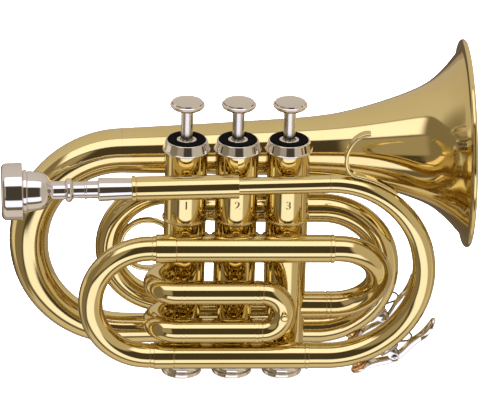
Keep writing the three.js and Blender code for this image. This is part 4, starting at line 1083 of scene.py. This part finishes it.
def bell():
    flare = BELL_RIM_RADIUS - BELL_TAIL_RADIUS
    marks = [(place * bell_length, BELL_TAIL_RADIUS + flare * width) for place, width in BELL_FLARE]
    wall = swapped(smooth_through(marks, 12))
    rim = [
        (BELL_RIM_RADIUS - 0.2 + BELL_BEAD * cos(a), BELL_BEAD_DEPTH * (1 + sin(a)))
        for a in [radians(115 - 265 * i / 20) for i in range(21)]
    ]
    outside = [(radius, place) for radius, place in reversed(wall) if place > 1.95 * BELL_BEAD_DEPTH]
    inside = [(radius - BELL_WALL, place) for radius, place in wall if place > BELL_BEAD_DEPTH]
    outline = [*outside, *rim, *inside]
    flared = turned("bell_fine", outline, BELL_RIM_CENTRE, bell_heading, sides=BELL_SIDES, edge_round=0)
    brass(flared, "bell")


def bell_bow():
    tail = BELL_RIM_CENTRE + bell_heading * (bell_length + SEAM_GAP)
    across = Vector((tail.x, REAR_PLANE, REAR_LOW_HEIGHT)) - tail
    route = Route(tail, bell_heading).bend(across, across.length / 2, pi - BELL_TILT)
    half = route.length / 2
    route.ease((REAR_JOINT_X, REAR_PLANE, REAR_LOW_HEIGHT), X_AXIS, 0.3)
    outer = [
        (0, BELL_TAIL_RADIUS),
        (half, BELL_BOW_MIDDLE),
        (2 * half, REAR_LOW_RADIUS + 0.9),
        (route.length, REAR_LOW_RADIUS),
    ]
    tube("bell_bow", route, outer, edge_round=0)


def rear_tubes():
    bow = Route((REAR_JOINT_X + SEAM_GAP, REAR_PLANE, REAR_LOW_HEIGHT), X_AXIS)
    bow.ahead(REAR_BOW_X - REAR_JOINT_X - SEAM_GAP).bend(Z_AXIS, REAR_BOW_RADIUS, pi)
    bow.ahead(REAR_BOW_X - REAR_RISE_START - SEAM_GAP)
    end = bow.length
    outer = [
        *shifted(0, REAR_LOW_RADIUS + FERRULE_STAND_OUT, [(0, 0), (FERRULE_LENGTH, 0)]),
        *shifted(0, REAR_LOW_RADIUS, [(FERRULE_LENGTH, 0), (33, 0.3), (60, 0.7)]),
        *shifted(0, REAR_TUBE_RADIUS, [(76, 0.5), (112, 0.5), (126, 0.9), (end - 12, 0.9), (end, 0.2)]),
    ]
    tube("rear_bow", bow, outer, bore_of(outer, TUBE_WALL), edge_round=EDGE_ROUND)
    joint = Vector((REAR_RISE_START, REAR_PLANE, REAR_LOW_HEIGHT + 2 * REAR_BOW_RADIUS))
    branch = Route(joint, -X_AXIS).ease((REAR_RISE_END, REAR_PLANE, REAR_LOOP_TOP), -X_AXIS)
    branch.ahead(REAR_RISE_END - valve_x(1) + REAR_ELBOW)
    branch.bend(-Z_AXIS, (REAR_LOOP_TOP - REAR_ENTRY_HEIGHT) / 2, pi)
    branch.bend(-Y_AXIS, REAR_ELBOW, pi / 2).ahead(PORT_DEPTH)
    ferruled_tube("rear_branch", branch, REAR_TUBE_RADIUS, [(0, FERRULE_RING)], (1,))


def thumb_ring():
    middle = RING_RADIUS - RING_WALL / 2
    section = rounded_bar(RING_WIDTH, RING_WALL, RING_CORNER, 5)
    outline = [(middle + out, across) for across, out in section]
    ring = turned("thumb_ring_fine", outline, RING_CENTRE, Y_AXIS, sides=RING_SIDES, edge_round=0)
    brass(ring, "thumb_ring")


def finger_hook():
    lead_bow_length = LEAD_BOW_RADIUS * (pi + LEAD_TILT) + LEAD_BOW_X - LOWER_SLEEVE_RIGHT
    share = LEAD_BOW_RADIUS * (HOOK_FOOT_START + LEAD_TILT) / (lead_bow_length / 2)
    tube_radius = LEADPIPE_RADIUS + (LEAD_BOW_MIDDLE - LEADPIPE_RADIUS) * share
    seat = LEAD_BOW_RADIUS + tube_radius + HOOK_THICKNESS / 2 - 0.1
    out = Vector((sin(HOOK_FOOT_START), 0, cos(HOOK_FOOT_START)))
    heading = Vector((-cos(HOOK_FOOT_START), 0, sin(HOOK_FOOT_START)))
    foot = Route(lead_bow_centre + out * seat, heading).bend(-out, seat, HOOK_FOOT_START - HOOK_FOOT_END)
    rise, along = foot.points[-1], foot.alongs[-1]
    climb = (HOOK_BACK.z - rise.z) / 2
    reach = (HOOK_TIP.z - HOOK_BACK.z) / 2
    stations = list(zip(foot.points, foot.alongs))
    stations += bezier([rise, rise + along * climb, HOOK_BACK - Z_AXIS * climb, HOOK_BACK], 16)[1:]
    stations += bezier([HOOK_BACK, HOOK_BACK + Z_AXIS * reach, HOOK_TIP - X_AXIS * reach, HOOK_TIP], 16)[1:]
    count = len(stations) - 1
    sizes = []
    for i in range(count + 1):
        ends = min(1, i / 4 + 0.6) * min(1, (count - i) / 4 + 0.55)
        sizes.append((HOOK_WIDTH * (0.8 + 0.2 * ends), HOOK_THICKNESS * (0.5 + 0.5 * ends), 0))
    brass(band("finger_hook_fine", stations, sizes, HOOK_CORNER), "finger_hook")


# Water keys: +X along the tube towards the paddle, +Z out of the tube, about the hinge's foot
def key_drop(place, surface=LEAD_BOW_RADIUS + LEAD_BOW_END):
    """How far a bow falls away under a place along a key; both keys' levers follow the lead bow's."""
    return sqrt(surface ** 2 - place ** 2) - surface


EAR_REACH = BARREL_LENGTH / 2 + RUNNING_GAP
EAR_OUTER = EAR_REACH + EAR_THICKNESS
HEAD_TOP = EAR_OUTER + HEAD_LENGTH
ARM_HEIGHT = PIN_HEIGHT + ARM_RISE
CORK_FOOT = (-CORK_REACH, 0, 0)
CORK_SEAT = key_drop(CORK_REACH) + NIPPLE_RISE + RUNNING_GAP
CORK_TOP = CORK_SEAT + CORK_HEIGHT
# The spring's leg beside a lever: places as shares of its reach, heights as shares of the arm's height
KEY_SPRING_LEG = [(0.3, 0.46), (0.78, 0.94), (0.95, 0.82), (1, 0.55), (0.95, 0.2), (0.85, 0.05)]


def saddle_foot(bow_radius, tube_radius):
    """The saddle's foot: a thin skin that wraps the bow under the hinge."""
    rings = []
    for i in range(9):
        x = SADDLE_LENGTH * (i / 8 - 0.5)
        centre = key_drop(x, bow_radius + tube_radius) - tube_radius
        sides = []
        for radius in (tube_radius + SADDLE_RISE, tube_radius - SADDLE_SINK):
            angles = [radians(-SADDLE_WRAP + 2 * SADDLE_WRAP * k / 12) for k in range(13)]
            sides.append([(x, radius * sin(a), centre + radius * cos(a)) for a in angles])
        rings.append([*sides[0], *reversed(sides[1])])
    return make_mesh("saddle_foot", *skin(rings, closed=False))


def key_saddle(number, bow_radius, tube_radius):
    half = EAR_WIDTH / 2
    parts = [saddle_foot(bow_radius, tube_radius)]
    for side in (-1, 1):
        outline = [(-half, -EAR_DEPTH), *arc_points((0, PIN_HEIGHT), half, 180, 0, 14), (half, -EAR_DEPTH)]
        parts.append(plate(f"ear_{side}", outline, *sorted((side * EAR_REACH, side * EAR_OUTER))))
    screw = [
        (0, EAR_OUTER - 0.2),
        *shifted(HEAD_RADIUS, EAR_OUTER, [(-0.25, -0.2), (-0.25, 0.1), (0, 0.1)]),
        *shifted(HEAD_RADIUS, HEAD_TOP, [(0, -0.1), (-0.15, 0)]),
        (0, HEAD_TOP),
    ]
    parts.append(turned("screw", screw, (0, 0, PIN_HEIGHT), Y_AXIS, sides=32, edge_round=0))
    return joined(f"water_key_saddle_fine_{number}", *parts)


# A thin dark strip laid across the screw head: painted shade standing for the shade inside its slot, which
# is not cut.
def key_screw_slot(number):
    reach = HEAD_RADIUS - 0.2
    half = SLOT_WIDTH / 2
    outline = [(-reach, -half), (reach, -half), (reach, half), (-reach, half)]
    slot = plate(f"slot_shade_strip_{number}", outline, HEAD_TOP - 0.1, HEAD_TOP + 0.03)
    slot.data.transform(Matrix.Rotation(SLOT_TURN, 4, "Y"))
    slot.data.transform(Matrix.Translation((0, 0, PIN_HEIGHT * MM)))
    return slot


def key_lever(number):
    cup_bore = CORK_RADIUS + RUNNING_GAP
    cup_radius = cup_bore + CUP_WALL
    cup_top = CORK_TOP + RUNNING_GAP + CUP_CROWN
    cup = turned("cup", [
        (cup_bore, CORK_SEAT + 0.5 * CORK_HEIGHT),
        (cup_radius, CORK_SEAT + 0.5 * CORK_HEIGHT),
        *arc_points((cup_radius - 0.7, cup_top - 1), 0.7, 0, 70, 6),
        (cup_radius / 2, cup_top - 0.1),
        (0, cup_top),
        (0, CORK_TOP + SEAM_GAP),
        (cup_bore, CORK_TOP + SEAM_GAP),
    ], CORK_FOOT, sides=KEY_SIDES, edge_round=0.1)

    def above_bow(place):
        return Vector((place, 0, ARM_HEIGHT + ARM_FOLLOW * key_drop(place)))

    ease = CORK_REACH / 3
    paddle_start = PADDLE_REACH - PADDLE_LENGTH
    heel = Vector((CORK_RADIUS / 2 - CORK_REACH, 0, CORK_TOP + 2 * RUNNING_GAP + ARM_THICKNESS / 2))
    hinge_top = Vector((0, 0, ARM_HEIGHT))
    shoulder = above_bow(paddle_start)
    middle = Vector((paddle_start + PADDLE_LENGTH / 2, 0, shoulder.z))
    tip = above_bow(PADDLE_REACH)
    stations = bezier([heel, heel + X_AXIS * ease, hinge_top - X_AXIS * ease, hinge_top], 14)
    halfway = X_AXIS * paddle_start / 2
    stations += bezier([hinge_top, hinge_top + halfway, shoulder - halfway, shoulder], 14)[1:]
    stations += bezier([shoulder, shoulder.lerp(middle, 2 / 3), tip.lerp(middle, 2 / 3), tip], 20)[1:]
    sizes = []
    for i in range(29):
        sizes.append((ARM_WIDTH * (0.9 + 0.3 * abs(i / 28 - 0.5)), ARM_THICKNESS * min(1, 0.7 + i / 20), 0))
    for i in range(1, 21):
        t = i / 20
        wide = ARM_WIDTH + (PADDLE_WIDTH - ARM_WIDTH) * sin(min(t * 1.8, 1) * pi / 2)
        wide *= sqrt(max(1 - max(t - 0.6, 0) ** 2 / 0.165, 0.02))
        sizes.append((wide, ARM_THICKNESS * (1 - 0.5 * t), PADDLE_DISH * min(1, t * 4, (1.02 - t) * 5)))
    arm = band("arm", stations, sizes, ARM_CORNER)
    pin = straight((0, -BARREL_LENGTH / 2, PIN_HEIGHT), Y_AXIS, BARREL_LENGTH)
    return joined(f"water_key_lever_fine_{number}", cup, arm, rod("barrel", pin, BARREL_RADIUS))


def key_cork(number):
    side = shifted(CORK_RADIUS, CORK_SEAT, [(-0.3, 0), (0, 0.3), (0, CORK_HEIGHT)])
    outline = [(0, CORK_SEAT), *side, (0, CORK_TOP)]
    return turned(f"water_key_cork_fine_{number}", outline, CORK_FOOT, sides=KEY_SIDES)


def key_nipple(number):
    foot = key_drop(CORK_REACH) - NIPPLE_DEPTH
    top = CORK_SEAT - SEAM_GAP
    outline = [
        (NIPPLE_BORE, foot), (NIPPLE_RADIUS + 0.3, foot), (NIPPLE_RADIUS, top - 0.2), (NIPPLE_RADIUS, top),
        (NIPPLE_BORE, top),
    ]
    return turned(f"nipple_{number}", outline, CORK_FOOT, sides=KEY_SIDES, edge_round=0.08)


def key_spring(number):
    coil_radius = KEY_COIL_BORE + KEY_WIRE
    start = EAR_OUTER + RUNNING_GAP + KEY_WIRE
    steps = 20
    coil = []
    for i in range(KEY_TURNS * steps + 1):
        turn = 2 * pi * i / steps
        depth = -start - KEY_COIL_LENGTH * i / steps / KEY_TURNS
        height = PIN_HEIGHT - coil_radius * cos(turn)
        coil.append(Vector((coil_radius * sin(turn), depth, height)))
    leg = [coil[-1], *[(x * KEY_SPRING_REACH, coil[-1].y, z * ARM_HEIGHT) for x, z in KEY_SPRING_LEG]]
    return wire(f"water_key_spring_fine_{number}", [*coil, *smooth_through(leg, 6)[1:]], KEY_WIRE)


def water_key(number, centre, bow_radius, tube_radius, angle):
    outwards = Vector((sin(angle), 0, -cos(angle)))
    along_tube = Vector((cos(angle), 0, sin(angle)))
    place = Matrix((along_tube, -Y_AXIS, outwards)).transposed().to_4x4()
    place.translation = (centre + outwards * (bow_radius + tube_radius)) * MM
    body = f"water_key_{number}"
    for obj, rides, node, slot, look in (
        (key_saddle(number, bow_radius, tube_radius), "root", "water_key_saddle", "nickel_silver", None),
        # The slot strip's dark steel look is painted shade.
        (key_screw_slot(number), "root", None, "nickel_silver", "spring_steel"),
        (key_lever(number), body, "water_key_lever", "nickel_silver", None),
        (key_cork(number), body, "water_key_cork", "cork", None),
        (key_nipple(number), "root", None, "lacquered_brass", None),
        (key_spring(number), "root", "water_key_spring", "spring_steel", None),
    ):
        obj.data.transform(place)
        dress(obj, rides, [f"{node}_{number}"] if node else [], slot, look)


# Floor, light and camera, with the floor's half width in metres
FLOOR_REACH = 9
FLOOR_GLOW = 1.0


def floor():
    mesh = bpy.data.meshes.new("floor")
    corners = [(FLOOR_REACH * x, FLOOR_REACH * y, 0) for x, y in ((-1, -1), (1, -1), (1, 1), (-1, 1))]
    mesh.from_pydata(corners, [], [(0, 1, 2, 3)])
    obj = new_object("floor", mesh)
    material, nodes, shader, place = new_material(
        "floor_white", Roughness=0.9, Specular_IOR_Level=0.0, Emission_Color=(1, 1, 1, 1),
        Emission_Strength=FLOOR_GLOW,
    )
    paper = nodes.noise(place, 30, 2)
    nodes.link(nodes.ramp(paper, [(0.3, 0.93), (0.7, 0.96)]), shader.inputs["Base Color"])
    obj.data.materials.append(material)
    obj.visible_glossy = False


# The studio as the brass mirrors it: patches by the share of a direction that points right, and by its
# angle up from the front horizon, over the top and down behind. Later patches lie over earlier ones.
BACKDROP = [(0.5, (0.71, 0.66, 0.6)), (0.78, (0.675, 0.61, 0.54)), (0.97, (0.59, 0.52, 0.45))]
STUDIO_PATCHES = [
    ("far_left_behind", (-1.2, -0.93), (85, 152), (0.291, 0.244, 0.186)),
    ("behind_below", (-0.85, 1.2), (-200, -98), (0.419, 0.355, 0.291)),
    ("table_edge_behind", (-0.8, 0.35), (-174, -126), (0.14, 0.108, 0.075)),
    ("far_left_below", (-1.2, -0.85), (-200, -90), (0.837, 0.756, 0.651)),
    ("floor_in_front", (-0.5, 1.2), (-98, -40), (0.756, 0.669, 0.581)),
    ("room_in_front", (-1.2, 1.2), (-42, 88), (0.07, 0.057, 0.04)),
    ("left_wall", (-1.2, -0.64), (-90, 90), (0.256, 0.209, 0.151)),
    ("left_card", (-0.74, -0.28), (-4, 42), (0.419, 0.36, 0.279)),
    ("right_wall", (0.42, 1.2), (-60, 92), (0.605, 0.535, 0.442)),
    ("window_ledge", (-0.7, 0.5), (-57, -42), (0.17, 0.14, 0.105)),
    ("low_window", (-0.52, 0.5), (-41, -13), (1.337, 1.36, 1.605)),
    ("top_softbox", (-0.66, 0.5), (46, 86), (1.547, 1.465, 1.686)),
]
PATCH_EDGE = 0.06
PATCH_EDGE_ANGLE = 2.5


def patch_mask(nodes, value, low, high, edge):
    """One between two values, falling softly to zero outside them."""
    masks = []
    for start, end in ((low - edge, low + edge), (high + edge, high - edge)):
        sockets = {"Value": value, "From Min": start, "From Max": end}
        masks.append(nodes.add("ShaderNodeMapRange", sockets, interpolation_type="SMOOTHSTEP").outputs[0])
    return nodes.math("MULTIPLY", *masks)


def studio_light():
    world = bpy.data.worlds.new("studio")
    bpy.context.scene.world = world
    world.use_nodes = True
    nodes = Nodes(world.node_tree)
    background = world.node_tree.nodes["Background"]
    direction = nodes.add("ShaderNodeTexCoord").outputs["Generated"]
    split = nodes.add("ShaderNodeSeparateXYZ", {0: direction})
    turned_by = nodes.math("ARCTAN2", split.outputs["Z"], nodes.math("MULTIPLY", split.outputs["Y"], -1.0))
    angle = nodes.math("MULTIPLY", turned_by, 180 / pi)
    colour = nodes.ramp(nodes.math("DIVIDE", angle, 180.0), BACKDROP)
    for name, across, up, tone in STUDIO_PATCHES:
        mask = nodes.math(
            "MULTIPLY",
            patch_mask(nodes, split.outputs["X"], *across, PATCH_EDGE),
            patch_mask(nodes, angle, *up, PATCH_EDGE_ANGLE),
        )
        sockets = {"Fac": mask, "Color1": colour, "Color2": (*tone, 1)}
        colour = nodes.add("ShaderNodeMixRGB", sockets, label=name).outputs[0]
    to_camera = nodes.add("ShaderNodeLightPath").outputs["Is Camera Ray"]
    sockets = {"Fac": to_camera, "Color1": colour, "Color2": (0.98, 0.98, 0.98, 1)}
    nodes.link(nodes.add("ShaderNodeMixRGB", sockets).outputs[0], background.inputs["Color"])
    for name, place, size, power in (
        ("key_softbox", (-0.5, -0.5, 1.4), 0.9, 26),
        ("top_softbox", (0.35, 0.35, 1.6), 1.1, 22),
    ):
        light = bpy.data.lights.new(name, "AREA")
        light.size = size
        light.energy = power
        holder = new_object(name, light)
        holder.location = place
        holder.rotation_euler = (CAMERA_TARGET * MM - Vector(place)).to_track_quat("-Z", "Y").to_euler()
        holder.visible_glossy = False


def camera():
    focal = CAMERA_DISTANCE / MM_PER_PIXEL
    data = bpy.data.cameras.new("camera")
    data.sensor_fit = "HORIZONTAL"
    data.sensor_width = SENSOR_WIDTH
    data.lens = focal / PICTURE_SIZE[0] * SENSOR_WIDTH
    data.clip_end = 30
    obj = new_object("camera", data)
    ahead = Vector((sin(CAMERA_YAW), cos(CAMERA_YAW), 0))
    looking = ahead * cos(CAMERA_ELEVATION) - Z_AXIS * sin(CAMERA_ELEVATION)
    right = Vector((cos(CAMERA_YAW), -sin(CAMERA_YAW), 0))
    up = right.cross(looking)
    rolled_right = right * cos(CAMERA_ROLL) + up * sin(CAMERA_ROLL)
    rolled_up = up * cos(CAMERA_ROLL) - right * sin(CAMERA_ROLL)
    aside = (TARGET_PIXEL[0] - PICTURE_SIZE[0] / 2) / focal
    below = (TARGET_PIXEL[1] - PICTURE_SIZE[1] / 2) / focal
    ray = looking + rolled_right * aside - rolled_up * below
    turn = Matrix((rolled_right, rolled_up, -looking)).transposed().to_4x4()
    turn.translation = (CAMERA_TARGET - ray * CAMERA_DISTANCE) * MM
    obj.matrix_world = turn
    bpy.context.scene.camera = obj


def hidden_pieces():
    """The pistons and their springs keep their CAD meshes and get their materials."""
    for name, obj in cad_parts.items():
        look = "piston_metal" if name.startswith("piston_") else "spring_steel"
        if name.startswith(("piston_", "valve_spring_")):
            for slot in obj.material_slots:
                slot.link = "OBJECT"
                slot.material = LOOKS[look]


def main():
    camera()
    for number in (1, 2, 3):
        valve_pieces(number)
        casing_digit(number)
    for first in (1, 2):
        casing_links(first)
    mouthpiece()
    receiver_and_leadpipe()
    lead_bow()
    front_tubes()
    first_slide()
    second_slide()
    third_slide()
    bell()
    bell_bow()
    rear_tubes()
    thumb_ring()
    finger_hook()
    rear_bow_centre = Vector((REAR_BOW_X, REAR_PLANE, REAR_LOW_HEIGHT + REAR_BOW_RADIUS))
    water_key(1, lead_bow_centre, LEAD_BOW_RADIUS, LEAD_BOW_END, KEY_ANGLES[0])
    water_key(2, rear_bow_centre, REAR_BOW_RADIUS, REAR_TUBE_RADIUS, KEY_ANGLES[1])
    hidden_pieces()
    floor()
    studio_light()
    bpy.context.scene.view_settings.view_transform = "Standard"


main()
